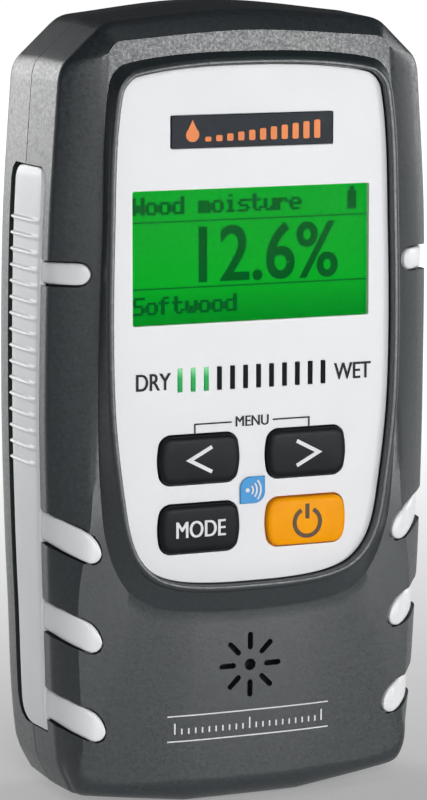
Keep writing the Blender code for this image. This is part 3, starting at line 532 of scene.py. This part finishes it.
def front_rings():
    """Outside and inside rings of the front shell, from the parting line round and back.

    The rings close to lip_foot on either side keep that edge crisp. The bevel rail nearest the
    foot is left out, because the rounded foot takes its place.
    """
    rim, foot, crease = rails["rim"], rails["foot"], rails["crease"]
    outside = [offset_rail(rim, -PARTING_SLOT_DEPTH),
               offset_rail(rim, 0.0, deeper=-PARTING_SLOT / 2),
               offset_rail(rim, 0.0, deeper=-1.0)]
    outside += rounded_foot(rim, foot, crease)
    outside += bevel_rails(crease, foot, BEVEL_RAILS)[::-1][1:]
    lip = [offset_rail(rails["panel"], out, depth=depth) for out, depth in LIP_PROFILE]
    outside += [crease, between(crease, rails["lip_foot"], 0.93), rails["lip_foot"],
                between(rails["lip_foot"], lip[0], 0.12), *lip]
    inside = [offset_rail(rails["panel"], out, depth=depth) for out, depth in LEDGE]
    inside += [offset_rail(rails["crease"], -1.6, deeper=2.4),
               offset_rail(rails["foot"], -WALL, deeper=1.9),
               offset_rail(rim, -WALL)]
    return outside, inside


def front_surface(outside):
    """Search tree of the front shell's outside, in millimetres."""
    bm = bmesh.new()
    skin(bm, outside)
    tree = BVHTree.FromBMesh(bm)
    bm.free()
    return tree


rails = {name: rail(name) for name in RAILS}
outside_rings, inside_rings = front_rings()
surface = front_surface(outside_rings)


def surface_depth(x, z):
    """Depth of the front shell's outside at a place."""
    hit = surface.ray_cast(Vector((x, -20.0, z)), Vector((0.0, 1.0, 0.0)))[0]
    return hit.y


# -------- side grips

def grip_front(height):
    """Depth of the grip's front edge at a height."""
    return lookup(rails["foot"], height).y + GRIP_SETBACK


def side_half_width(height, depth):
    """Half width of the housing's side at a height and depth."""
    foot, rim = lookup(rails["foot"], height), lookup(rails["rim"], height)
    share = min(max((depth - foot.y) / (rim.y - foot.y), 0.0), 1.0)
    return foot.x + (rim.x - foot.x) * share


def tongue_rows(spec, gap, angles):
    """Rows of (point, half height, direction out, proud, sunk, notch depth) along a tongue."""
    height, half, drop, reach = spec
    foot = lookup(rails["foot"], height)
    start = grip_front(height) + 1.5
    sideways = Vector((1.0, 0.0, 0.0))
    rows = []
    for share, proud, sunk, notch in ((1.0, 0.1, 0.95, 1.2), (0.4, -0.2, 1.05, 1.35)):
        depth = foot.y + (start - foot.y) * share
        point = Vector((side_half_width(height, depth), depth, height + drop * 1.7 * share))
        rows.append((point, half + gap, sideways, proud, sunk, notch))
    corner = Vector((foot.x, foot.y, height))
    rows.append((corner, half + gap, Vector((0.80, -0.60, 0.0)), -0.9, 1.9, 2.3))
    end = reach - gap
    rounded = half + gap
    stations = [(foot.x + (end + rounded - foot.x) * 0.4, -0.2, 1.2, 1.7)]
    for angle in angles:
        along = 1 - math.cos(math.radians(angle))
        stations.append((end + rounded * along, TONGUE_PROUD, TONGUE_SUNK, NOTCH_DEPTH))
    for x, proud, sunk, notch in stations:
        into_round = max(0.0, end + rounded - x) / rounded
        narrow = math.sqrt(max(0.0, 1.0 - into_round ** 2))
        middle = height - drop * (foot.x - x)
        slant = 0.5 if x > lookup(rails["crease"], middle).x else 0.1
        out = Vector((slant, -1.0, 0.0)).normalized()
        point = Vector((x, surface_depth(x, middle), middle))
        rows.append((point, rounded * narrow, out, proud, sunk, notch))
    return rows


def smooth_rows(rows, count):
    """Rows blended between the given ones, so that the tongue bends evenly."""
    made = []
    for first, second in zip(rows, rows[1:]):
        for step in range(count):
            t = step / count
            made.append(tuple(a * (1 - t) + b * t for a, b in zip(first, second)))
    made.append(rows[-1])
    return made


def ease_rows(rows):
    """Rows with their place, direction and height averaged with those of their neighbours."""
    eased = [rows[0]]
    for before, row, after in zip(rows, rows[1:], rows[2:]):
        place = before[0] * 0.25 + row[0] * 0.5 + after[0] * 0.25
        out = (before[2] + row[2] * 2.0 + after[2]).normalized()
        proud = (before[3] + row[3] * 2.0 + after[3]) / 4.0
        eased.append((place, row[1], out, proud, *row[4:]))
    eased.append(rows[-1])
    return eased


def add_tongue(bm, spec, side):
    """One tongue with a crowned face and rounded edges."""
    rows = smooth_rows(tongue_rows(spec, 0.0, (90, 70, 50, 33, 20, 10, 4)), 3)
    for _ in range(TONGUE_SMOOTHING):
        rows = ease_rows(rows)
    rings = []
    for base, half, out, proud, sunk, _ in rows:
        ring = [base + out * (proud - drop) + Vector((0, 0, half * share))
                for share, drop in TONGUE_PROFILE]
        ring += [base - out * sunk + Vector((0, 0, half * share))
                 for share, _ in reversed(TONGUE_PROFILE)]
        rings.append(on_side(ring, side))
    skin(bm, rings, cap_start=True, cap_end=True)


def notch_cutter(spec, side):
    """Cutter for the notch that a tongue lies in."""
    rings = []
    for base, half, out, _, _, notch in tongue_rows(spec, NOTCH_GAP, (90, 60, 33, 12)):
        ring = []
        for share, lift in ((-1.0, 3.0), (1.0, 3.0), (1.0, -notch), (-1.0, -notch)):
            ring.append(base + out * lift + Vector((0, 0, half * share)))
        rings.append(on_side(ring, side))
    bm = bmesh.new()
    skin(bm, rings, cap_start=True, cap_end=True)
    return publish("cutter", bm, "housing", body=None)


def rib_lift(height):
    """How far the rounded finger ribs stand out at a height."""
    nearest = round((RIB_TOP - height) / RIB_PITCH)
    if not 0 <= nearest < RIB_COUNT:
        return 0.0
    away = abs(height - (RIB_TOP - nearest * RIB_PITCH)) / RIB_HALF
    return RIB_HEIGHT * math.cos(math.pi / 2 * min(away, 1.0))


def grip_ring(level, side, shares, proud, sunk, rear, gap, ribs):
    """Level section of a grip or of its seat: outer face from front to rear, then inner face."""
    end_low = max(0.0, 1.0 - (level - GRIP_BOTTOM) / GRIP_LOW_ROUND)
    end_high = max(0.0, 1.0 - (GRIP_TOP - level) / GRIP_HIGH_ROUND)
    pull = GRIP_PULL * (1 - math.sqrt(max(0.0, 1 - end_high ** 2)))
    pull_low = GRIP_LOW_PULL * (1 - math.sqrt(max(0.0, 1 - end_low ** 2)))
    front = grip_front(level) + pull - gap
    back = rear - pull - pull_low + gap
    height = level + gap * (level == GRIP_TOP) - gap * (level == GRIP_BOTTOM)
    soft_end = GRIP_END_DROP * max(end_low, end_high) ** 4
    ring = []
    for share, drop in shares:
        depth = front + (back - front) * share
        x = side_half_width(level, depth) + proud - drop - soft_end
        if ribs:
            lift = rib_lift(level)
            x += lift * min(1.0, 5.0 * share)
            depth += lift * (share > 0.9)
        ring.append(Vector((side * x, depth, height)))
    for share, _ in reversed(shares):
        depth = front + (back - front) * share
        ring.append(Vector((side * (side_half_width(level, depth) - sunk), depth, height)))
    return ring


def grip_seat(side):
    """Cutter for the channel that a grip lies in."""
    levels = [GRIP_BOTTOM, GRIP_BOTTOM + 0.8, GRIP_BOTTOM + 2.2, GRIP_BOTTOM + 4.5, 28, 36, 44, 52,
              60, 80, 100, 118, 121, GRIP_TOP - 0.9, GRIP_TOP]
    shares = ((0.0, 0.0), (0.5, 0.0), (1.0, 0.0))
    rings = [grip_ring(level, side, shares, 3.0, GRIP_SUNK + FIT, CHANNEL_REAR, FIT, False)
             for level in levels]
    bm = bmesh.new()
    skin(bm, rings, cap_start=True, cap_end=True)
    return publish("cutter", bm, "housing", body=None)


def make_grip(name, side):
    """White side grip: a ribbed bar with four tongues."""
    levels = [GRIP_BOTTOM + (GRIP_TOP - GRIP_BOTTOM) * step / GRIP_STEPS
              for step in range(GRIP_STEPS + 1)]
    rings = [grip_ring(level, side, GRIP_PROFILE, GRIP_PROUD, GRIP_SUNK, GRIP_REAR, 0.0, True)
             for level in levels]
    bm = bmesh.new()
    skin(bm, rings, cap_start=True, cap_end=True)
    for spec in TONGUES:
        add_tongue(bm, spec, side)
    grip = publish(name + "_soft", bm, "grip", smooth_angle=50.0)
    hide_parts(name)


# -------- shells

def slot_outline(index):
    """Outline of one round-ended slot of the sounder grille."""
    angle = 2 * math.pi * index / GRILLE_SLOTS
    along = Vector((math.sin(angle), math.cos(angle)))
    across = Vector((along.y, -along.x)) * GRILLE_SLOT_WIDTH / 2
    outline = []
    for reach, sweep in ((GRILLE_OUTER, 1), (GRILLE_INNER, -1)):
        for turn in (90, 60, 30, 0, -30, -60, -90):
            bend = math.radians(turn)
            swing = across * math.sin(bend) + along * GRILLE_SLOT_WIDTH / 2 * math.cos(bend)
            point = along * reach + swing * sweep
            outline.append((point.x, point.y + GRILLE_Z))
    return outline


def make_front_shell():
    """Front half of the housing with its grip seats, notches and sounder grille."""
    bm = bmesh.new()
    skin(bm, outside_rings + inside_rings, closed=True)
    shell = publish("front_housing", bm, "housing")
    cutters = [grip_seat(side) for side in (-1, 1)]
    cutters += [notch_cutter(spec, side) for side in (-1, 1) for spec in TONGUES]
    openings = [disc(0, GRILLE_Z, GRILLE_EYE, 24)]
    openings += [slot_outline(index) for index in range(GRILLE_SLOTS)]
    cutters += [cutter(opening, (-4, 9)) for opening in openings]
    carve(shell, cutters, 30.0)
    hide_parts("front_shell")


def drawn_in(points, inset, depth):
    """The rail scaled toward the middle of the housing, so that its sides move in by inset."""
    middle = (max(point.z for point in points) + min(point.z for point in points)) / 2
    across = 1 - inset / max(point.x for point in points)
    along = 1 - inset / middle
    return [Vector((point.x * across, depth, middle + (point.z - middle) * along))
            for point in points]


def rear_rings():
    """Outside and inside rings of the rear shell, from the parting line to the flat back."""
    rim = rails["rim"]
    front = PARTING_DEPTH + PARTING_SLOT / 2
    outside = [offset_rail(rim, -PARTING_SLOT_DEPTH, depth=PARTING_DEPTH),
               offset_rail(rim, 0.0, depth=front),
               offset_rail(rim, 0.0, depth=front + 0.8),
               offset_rail(rim, -0.3, depth=30.0),
               drawn_in(rim, 0.7, 32.0), drawn_in(rim, 1.4, 33.4), drawn_in(rim, 2.4, 34.3),
               drawn_in(rim, 3.5, 34.8), drawn_in(rim, 4.8, BACK_DEPTH)]
    inside = [drawn_in(rim, 6.2, BACK_DEPTH - 2.2),
              drawn_in(rim, 3.0, 29.0),
              offset_rail(rim, -WALL, depth=PARTING_DEPTH)]
    return outside, inside


def make_rear_shell():
    """Rear half of the housing with its screw holes, battery bay, door seat and pad pockets."""
    outside, inside = rear_rings()
    bm = bmesh.new()
    skin(bm, outside[::-1] + inside[::-1], cap_start=True, cap_end=True)
    shell = publish("rear_housing", bm, "housing")
    cutters = [grip_seat(side) for side in (-1, 1)]
    cutters += [cutter(disc(x, z, SCREW_HOLE), (SCREW_SEAT, 37.0)) for x, z in SCREW_SPOTS]
    middle, height = (BAY_LOW + BAY_HIGH) / 2, BAY_HIGH - BAY_LOW
    lap = rounded_rectangle(0, middle, 2 * (BAY_X + DOOR_LAP), height + 2 * DOOR_LAP, 2.0)
    cutters.append(cutter(lap, (BACK_DEPTH - DOOR_THICKNESS - FIT, 37.0)))
    bay = rounded_rectangle(0, middle, 2 * BAY_X, height, 1.0)
    cutters.append(cutter(bay, (BAY_FRONT, 37.5)))
    for z in PAD_HEIGHTS:
        pocket = rounded_rectangle(0, z, PAD_SIZE[0] + 0.6, PAD_SIZE[1] + 0.6, 3.5)
        cutters.append(cutter(pocket, (BACK_DEPTH - 1.1, 38.0)))
    carve(shell, cutters, 30.0)
    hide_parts("rear_shell")


# -------- panel, keys, display

def key_outline(x, z, grow=0.0):
    """Outline of a key or, grown, of its opening."""
    width, height = KEY_SIZE
    return rounded_rectangle(x, z, width + 2 * grow, height + 2 * grow, KEY_ROUND + grow, KEY_BULGE)


def make_panel():
    """White front panel with its window, bar slots, key openings and plate recess."""
    outline = [(point.x, point.z) for point in rails["panel"]]
    panel = prism("panel_face", outline, (0.12, 0.0, PANEL_THICKNESS), "panel", (0.02, 0.14, 0.02))
    openings = [rounded_rectangle(*WINDOW, 0.4)]
    for index in range(BAR_COUNT):
        centre = (index - (BAR_COUNT - 1) / 2) * BAR_PITCH
        openings.append(rounded_rectangle(centre, BAR_Z, *BAR_SIZE, 0.15, steps=3))
    openings += [key_outline(x, z, KEY_GAP) for x, z in KEYS.values()]
    cutters = [cutter(opening, (-2, 3), "panel") for opening in openings]
    cutters.append(cutter(rounded_rectangle(*PLATE, 0.4), (-2, 0.5), "panel"))
    carve(panel, cutters, 25.0)
    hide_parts("front_panel")


def make_keys():
    """Four keys with crowned caps on wider flanges."""
    for name, (x, z) in KEYS.items():
        material = "key_orange" if name == "key_power" else "key_black"
        profile = KEY_FLANGE + KEY_PROFILE
        key = prism(name + "_cap", key_outline(x, z), [depth for depth, _ in profile], material,
                    [inset for _, inset in profile], body=name, smooth_angle=40.0)
        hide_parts(name)


def leaf_outline(centre_x, centre_z, width, height):
    """Square with two opposite corners pointed and two round."""
    points = []
    radius = width * 0.42
    corners = ((1, 1, 0, 0.05), (-1, 1, 90, radius), (-1, -1, 180, 0.05), (1, -1, 270, radius))
    for sign_x, sign_z, start, corner in corners:
        steps = 12 if corner > 1 else 1
        for step in range(steps + 1):
            angle = math.radians(start + 90.0 * step / steps)
            points.append((centre_x + sign_x * (width / 2 - corner) + corner * math.cos(angle),
                           centre_z + sign_z * (height / 2 - corner) + corner * math.sin(angle)))
    return points


# -------- print and lettering

def add_stroke(bm, path, width, depths, on_surface=False):
    """Adds a line of even width along a path of (x, z), as a thin solid with mitred corners."""
    points = [Vector(point) for point in path]
    rings = []
    for index, point in enumerate(points):
        before = points[max(index - 1, 0)]
        after = points[min(index + 1, len(points) - 1)]
        first = (point - before).normalized() if index else (after - point).normalized()
        second = (after - point).normalized() if index < len(points) - 1 else first
        across = Vector((-(first + second).y, (first + second).x)).normalized()
        reach = width / 2 / max(0.4, across.dot(Vector((-first.y, first.x))))
        left, right = point + across * reach, point - across * reach
        ring = []
        near, far = depths
        for place, depth in ((left, near), (right, near), (right, far), (left, far)):
            lift = surface_depth(place.x, place.y) if on_surface else 0.0
            ring.append((place.x, depth + lift, place.y))
        rings.append(ring)
    skin(bm, rings, cap_start=True, cap_end=True)


def arc_path(centre_x, centre_z, radius, start, end, steps=24):
    path = []
    for step in range(steps + 1):
        angle = math.radians(start + (end - start) * step / steps)
        path.append((centre_x + radius * math.cos(angle), centre_z + radius * math.sin(angle)))
    return path


def add_words(bm, words, low, high, depths, bold=0.0, heavy=0.0):
    """Adds words in the plain built-in font, fitted between two corners (x, z).

    bold swells every stroke. heavy draws the words again that far to the right, which suits
    letters with sharp inner corners.
    """
    curve = bpy.data.curves.new("words", "FONT")
    curve.body = words
    curve.extrude = 0.5
    curve.offset = bold
    curve.resolution_u = 8
    holder = bpy.data.objects.new("words", curve)
    bpy.context.scene.collection.objects.link(holder)
    graph = bpy.context.evaluated_depsgraph_get()
    mesh = bpy.data.meshes.new_from_object(holder.evaluated_get(graph))
    bpy.data.objects.remove(holder, do_unlink=True)
    across = sorted(vertex.co.x for vertex in mesh.vertices)
    along = sorted(vertex.co.y for vertex in mesh.vertices)
    for vertex in mesh.vertices:
        share_x = (vertex.co.x - across[0]) / (across[-1] - across[0])
        share_z = (vertex.co.y - along[0]) / (along[-1] - along[0])
        depth = depths[0] if vertex.co.z > 0 else depths[1]
        vertex.co = (low[0] + (high[0] - low[0]) * share_x, depth,
                     low[1] + (high[1] - low[1]) * share_z)
    bm.from_mesh(mesh)
    if heavy:
        add_words(bm, words, (low[0] + heavy, low[1]), (high[0] + heavy, high[1]),
                  (depths[0] + 0.01, depths[1] + 0.01), bold)


def drop_outline(centre_x, centre_z, radius, steps=20):
    """Water drop with its point upward."""
    points = []
    for step in range(steps + 1):
        angle = math.radians(130.0 + 280.0 * step / steps)
        points.append((centre_x + radius * math.cos(angle), centre_z + radius * math.sin(angle)))
    points.append((centre_x, centre_z + radius * 2.1))
    return points


PRINT_DEPTHS = (-0.05, 0.05)


def make_panel_print():
    """Scale ends, the bracket over the arrow keys, and its caption."""
    bm = bmesh.new()
    add_words(bm, "DRY", (-23.9, 82.15), (-16.9, 85.35), PRINT_DEPTHS, bold=0.004, heavy=0.1)
    add_words(bm, "WET", (17.2, 82.15), (24.9, 85.35), PRINT_DEPTHS, bold=0.004, heavy=0.1)
    add_words(bm, "MENU", (-3.45, 74.25), (3.35, 76.25), PRINT_DEPTHS, heavy=0.08)
    for side in (-1, 1):
        path = ((side * 4.3, 75.2), (side * 11.9, 75.2), (side * 11.9, 73.5))
        add_stroke(bm, path, 0.28, PRINT_DEPTHS)
    publish("panel_print", bm, "black_print")


def make_key_print():
    """Arrows, the mode caption and the power sign, each riding on its key."""
    depths = (-1.19, -1.0)
    for name, side in (("key_back", -1), ("key_forward", 1)):
        x, z = KEYS[name]
        bm = bmesh.new()
        path = ((x - side * 2.3, z + 2.4), (x + side * 2.3, z), (x - side * 2.3, z - 2.4))
        add_stroke(bm, path, 0.72, depths)
        publish(name + "_print", bm, "white_print", body=name)
    x, z = KEYS["key_mode"]
    bm = bmesh.new()
    add_words(bm, "MODE", (x - 5.1, z - 1.6), (x + 5.0, z + 1.6), depths, heavy=0.16)
    publish("key_mode_print", bm, "white_print", body="key_mode")
    x, z = KEYS["key_power"]
    bm = bmesh.new()
    add_stroke(bm, arc_path(x, z - 0.3, 2.7, 118, 422), 0.8, depths)
    add_stroke(bm, ((x, z + 0.4), (x, z + 3.3)), 0.8, depths)
    publish("key_power_print", bm, "brown_print", body="key_power")


def make_plate():
    """Dark plate with a plain moisture symbol: a drop and a row of rising marks."""
    x, z, width, height = PLATE
    plate = prism("plate_face", rounded_rectangle(x, z, width - 0.3, height - 0.3, 0.35),
                  (-0.05, -0.15, 0.35), "plate", (0.0, 0.12, 0.0))
    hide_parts("name_plate")
    bm = bmesh.new()
    depths = (-0.2, -0.1)
    add_prism(bm, drop_outline(x - 12.4, z - 0.55, 1.35), depths)
    marks, pitch = 11, 2.25
    for index in range(marks):
        mark_x = x - 9.2 + pitch * index
        rise = 0.9 + 2.6 * index / (marks - 1)
        outline = rounded_rectangle(mark_x, z - 1.9 + rise / 2, 1.3, rise, 0.3, steps=3)
        add_prism(bm, outline, depths)
    publish("plate_mark", bm, "orange_print")


def make_badge():
    """Blue leaf with a plain sign for a wireless link."""
    badge = prism("badge_face", leaf_outline(*BADGE), (-0.2, -0.3, -0.12), "badge",
                  (0.0, 0.08, 0.0))
    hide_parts("connection_badge")
    bm = bmesh.new()
    x, z = BADGE[0] - 1.1, BADGE[1]
    add_prism(bm, disc(x, z, 0.42, 16), (-0.36, -0.28))
    for radius in (1.15, 1.95, 2.75):
        add_stroke(bm, arc_path(x, z, radius, -42, 42, 12), 0.36, (-0.36, -0.28))
    publish("badge_mark", bm, "white_print")


def make_label():
    """Two fine lines on the lower front with a plain tick scale between them."""
    bm = bmesh.new()
    half, steps = 17.0, 28
    depths = (-0.05, 0.12)
    for z in (18.35, 13.35):
        path = [(-half + 2 * half * step / steps, z) for step in range(steps + 1)]
        add_stroke(bm, path, 0.24, depths, on_surface=True)
    ticks = 23
    for index in range(ticks):
        x = -half + 1.5 + (2 * half - 3.0) * index / (ticks - 1)
        rise = 2.2 if index % 11 == 0 else 1.1
        add_stroke(bm, ((x, 14.75), (x, 14.75 + rise)), 0.3, depths, on_surface=True)
    publish("label_print", bm, "white_print")


# -------- display

GLYPHS = {                   # five dots wide and seven high
    "W": "#...#/#...#/#...#/#.#.#/#.#.#/##.##/#...#",
    "S": ".####/#..../#..../.###./....#/....#/####.",
    "d": "....#/....#/.####/#...#/#...#/#...#/.####",
    "e": "...../...../.###./#...#/#####/#..../.###.",
    "f": "..##./.#.../####./.#.../.#.../.#.../.#...",
    "i": "..#../...../.##../..#../..#../..#../.###.",
    "m": "...../...../##.#./#.#.#/#.#.#/#.#.#/#.#.#",
    "o": "...../...../.###./#...#/#...#/#...#/.###.",
    "r": "...../...../#.##./##..#/#..../#..../#....",
    "s": "...../...../.####/#..../.###./....#/####.",
    "t": ".#.../.#.../####./.#.../.#.../.#..#/..##.",
    "u": "...../...../#...#/#...#/#...#/#..##/.##.#",
    "w": "...../...../#...#/#...#/#.#.#/#.#.#/.#.#.",
    " ": "...../...../...../...../...../...../.....",
}
DOT_X, DOT_Z = 0.45, 0.49
DOT_DEPTHS = (1.70, 1.78)


def add_dot(bm, x, z, width, height):
    outline = ((x, z), (x + width, z), (x + width, z + height), (x, z + height))
    add_prism(bm, outline, DOT_DEPTHS)


def add_dotted_words(bm, words, left, low):
    """Adds a line of dot characters that starts at left and stands on low."""
    for place, letter in enumerate(words):
        for row, dots in enumerate(GLYPHS[letter].split("/")):
            for column, dot in enumerate(dots):
                if dot == "#":
                    x = left + (place * 6 + column) * DOT_X
                    add_dot(bm, x, low + (6 - row) * DOT_Z, DOT_X * 1.8, DOT_Z * 0.98)


def make_display():
    """Backlit glass with two dotted captions, dividing lines, a battery sign and a reading."""
    x, z, width, height = WINDOW
    glass = rounded_rectangle(x, z, 51.6, 29.0, 0.4)
    screen = prism("screen_glass", glass, (1.82, 1.75, 3.4), "screen", (0.0, 0.08, 0.0))
    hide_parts("lcd_glass")
    bm = bmesh.new()
    left, low = x - width / 2, z - height / 2
    add_dotted_words(bm, "Wood moisture", left + 0.5, 115.2)
    add_dotted_words(bm, "Softwood", left + 0.5, 96.3)
    for divider in (113.7, 101.1):
        add_dot(bm, left - 0.4, divider, width + 0.8, 0.26)
    add_dot(bm, 20.6, 114.9, 1.9, 3.6)
    add_dot(bm, 21.1, 118.5, 0.9, 0.8)
    add_words(bm, "12.6%", (-10.4, low + 7.5), (18.4, low + 18.4), DOT_DEPTHS, bold=0.008,
              heavy=0.25)
    publish("screen_figures", bm, "dots")


# -------- back and inside

def make_back():
    """Rubber sensor pads with upright ribs."""
    for name, z in zip(("sensor_pad_upper", "sensor_pad_lower"), PAD_HEIGHTS):
        bm = bmesh.new()
        add_prism(bm, rounded_rectangle(0, z, PAD_SIZE[0], PAD_SIZE[1], 3.2),
                  (34.2, 35.1, 35.3, 35.38), (0.0, 0.0, 0.15, 0.45))
        for index in range(PAD_RIBS):
            rib_x = (index - (PAD_RIBS - 1) / 2) * PAD_RIB_PITCH
            rib = rounded_rectangle(rib_x, z, 0.9, 6.6, 0.4, steps=4)
            add_prism(bm, rib, (35.2, 35.5, 35.6), (0.0, 0.0, 0.2))
        pad = publish(name + "_ribbed", bm, "sensor_rubber")
        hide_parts(name)


CAD_FINISHES = {
    "display_lens": "lens", "backlight_diffuser": "diffuser", "lcd_frame": "inner_plastic",
    "lcd_contact_strip": "silicone", "keypad_mat": "silicone", "main_board": "board",
    "sensor_board": "board", "board_connector": "inner_plastic", "buzzer": "inner_plastic",
    "buzzer_gauze": "gauze", "battery": "battery", "battery_stud_small": "nickel",
    "battery_stud_large": "nickel", "battery_clip": "inner_plastic", "battery_door": "housing",
    "case_screw_top_left": "steel", "case_screw_top_right": "steel",
    "case_screw_bottom_left": "steel", "case_screw_bottom_right": "steel",
}
SOFT_EDGES = {"battery_door": 0.35, "buzzer": 0.3, "battery": 0.6, "board_connector": 0.3,
              "battery_clip": 0.3, "lcd_frame": 0.25}


def finish_cad_nodes():
    """Materials for the CAD nodes that stay, and small rounded edges on the moulded ones."""
    for index in range(BAR_COUNT):
        CAD_FINISHES[f"led_bar_{index + 1:02d}"] = "bar_lit" if index < BARS_LIT else "bar_dark"
    for name, material in CAD_FINISHES.items():
        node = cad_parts[name]
        node.data.materials.clear()
        node.data.materials.append(FINISHES[material])
        if name in SOFT_EDGES:
            bevel = node.modifiers.new("soft_edges", "BEVEL")
            bevel.width = SOFT_EDGES[name] * MM
            bevel.segments = 3
            bevel.limit_method = "ANGLE"
            bevel.harden_normals = True


# -------- studio

def add_light(name, place, target, size, power):
    """Rectangular area light in metres and watts, aimed at the target."""
    lamp = bpy.data.lights.new(name, "AREA")
    lamp.shape = "RECTANGLE"
    lamp.size, lamp.size_y = size
    lamp.energy = power
    holder = bpy.data.objects.new(name, lamp)
    holder.location = place
    holder.rotation_euler = (Vector(target) - Vector(place)).to_track_quat("-Z", "Y").to_euler()
    bpy.context.scene.collection.objects.link(holder)


def make_studio():
    """Floor, dim surroundings and five soft lights.

    The key light is low and near, so that the front mirrors it and the slopes above don't.
    """
    bm = bmesh.new()
    reach = 9.0
    corners = ((-reach, -reach), (reach, -reach), (reach, reach), (-reach, reach))
    bm.faces.new([bm.verts.new((x, y, 0.0)) for x, y in corners])
    mesh = bpy.data.meshes.new("floor")
    bm.to_mesh(mesh)
    bm.free()
    floor = bpy.data.objects.new("floor", mesh)
    floor.data.materials.append(FINISHES["floor"])
    bpy.context.scene.collection.objects.link(floor)
    world = bpy.data.worlds.new("studio")
    world.use_nodes = True
    background = world.node_tree.nodes["Background"]
    settle(background, {"Color": (0.95, 0.97, 1.0, 1.0), "Strength": 0.06})
    bpy.context.scene.world = world
    middle = (0.0, 0.0, 0.08)
    add_light("key_right", (0.38, -0.82, 0.055), (0.0, 0.0, 0.055), (0.5, 0.1), 3.3)
    add_light("fill_left", (-0.7, -2.4, 0.9), middle, (0.7, 0.9), 24.0)
    add_light("rim_right", (2.3, 0.3, 0.6), middle, (0.9, 1.2), 16.0)
    add_light("rim_left", (-1.0, 2.2, 0.6), middle, (1.4, 1.1), 24.0)
    add_light("overhead", (0.3, -0.6, 2.6), middle, (1.8, 1.8), 3.0)
    bpy.context.scene.view_settings.view_transform = "Standard"


def make_camera():
    """Camera at the reference view: 23.1 degrees from the left and 8.6 degrees above."""
    turn, lift = math.radians(23.14), math.radians(8.6)
    back = Vector((-math.sin(turn) * math.cos(lift), -math.cos(turn) * math.cos(lift),
                   math.sin(lift)))
    right = Vector((math.cos(turn), -math.sin(turn), 0.0))
    up = back.cross(right)
    target = Vector((-0.00807, -0.01675, 0.07968))
    distance = 0.6895
    lens = bpy.data.cameras.new("view")
    lens.sensor_fit = "VERTICAL"
    lens.sensor_height = 36.0
    lens.lens = 163.2
    lens.clip_start = 0.01
    lens.clip_end = 50.0
    camera = bpy.data.objects.new("view", lens)
    axes = Matrix((right, up, back)).transposed()
    camera.matrix_world = Matrix.Translation(target + back * distance) @ axes.to_4x4()
    bpy.context.scene.collection.objects.link(camera)
    bpy.context.scene.camera = camera


make_studio()
make_camera()
make_front_shell()
make_rear_shell()
make_grip("left_grip", -1)
make_grip("right_grip", 1)
make_panel()
make_keys()
make_key_print()
make_panel_print()
make_plate()
make_badge()
make_label()
make_display()
make_back()
finish_cad_nodes()
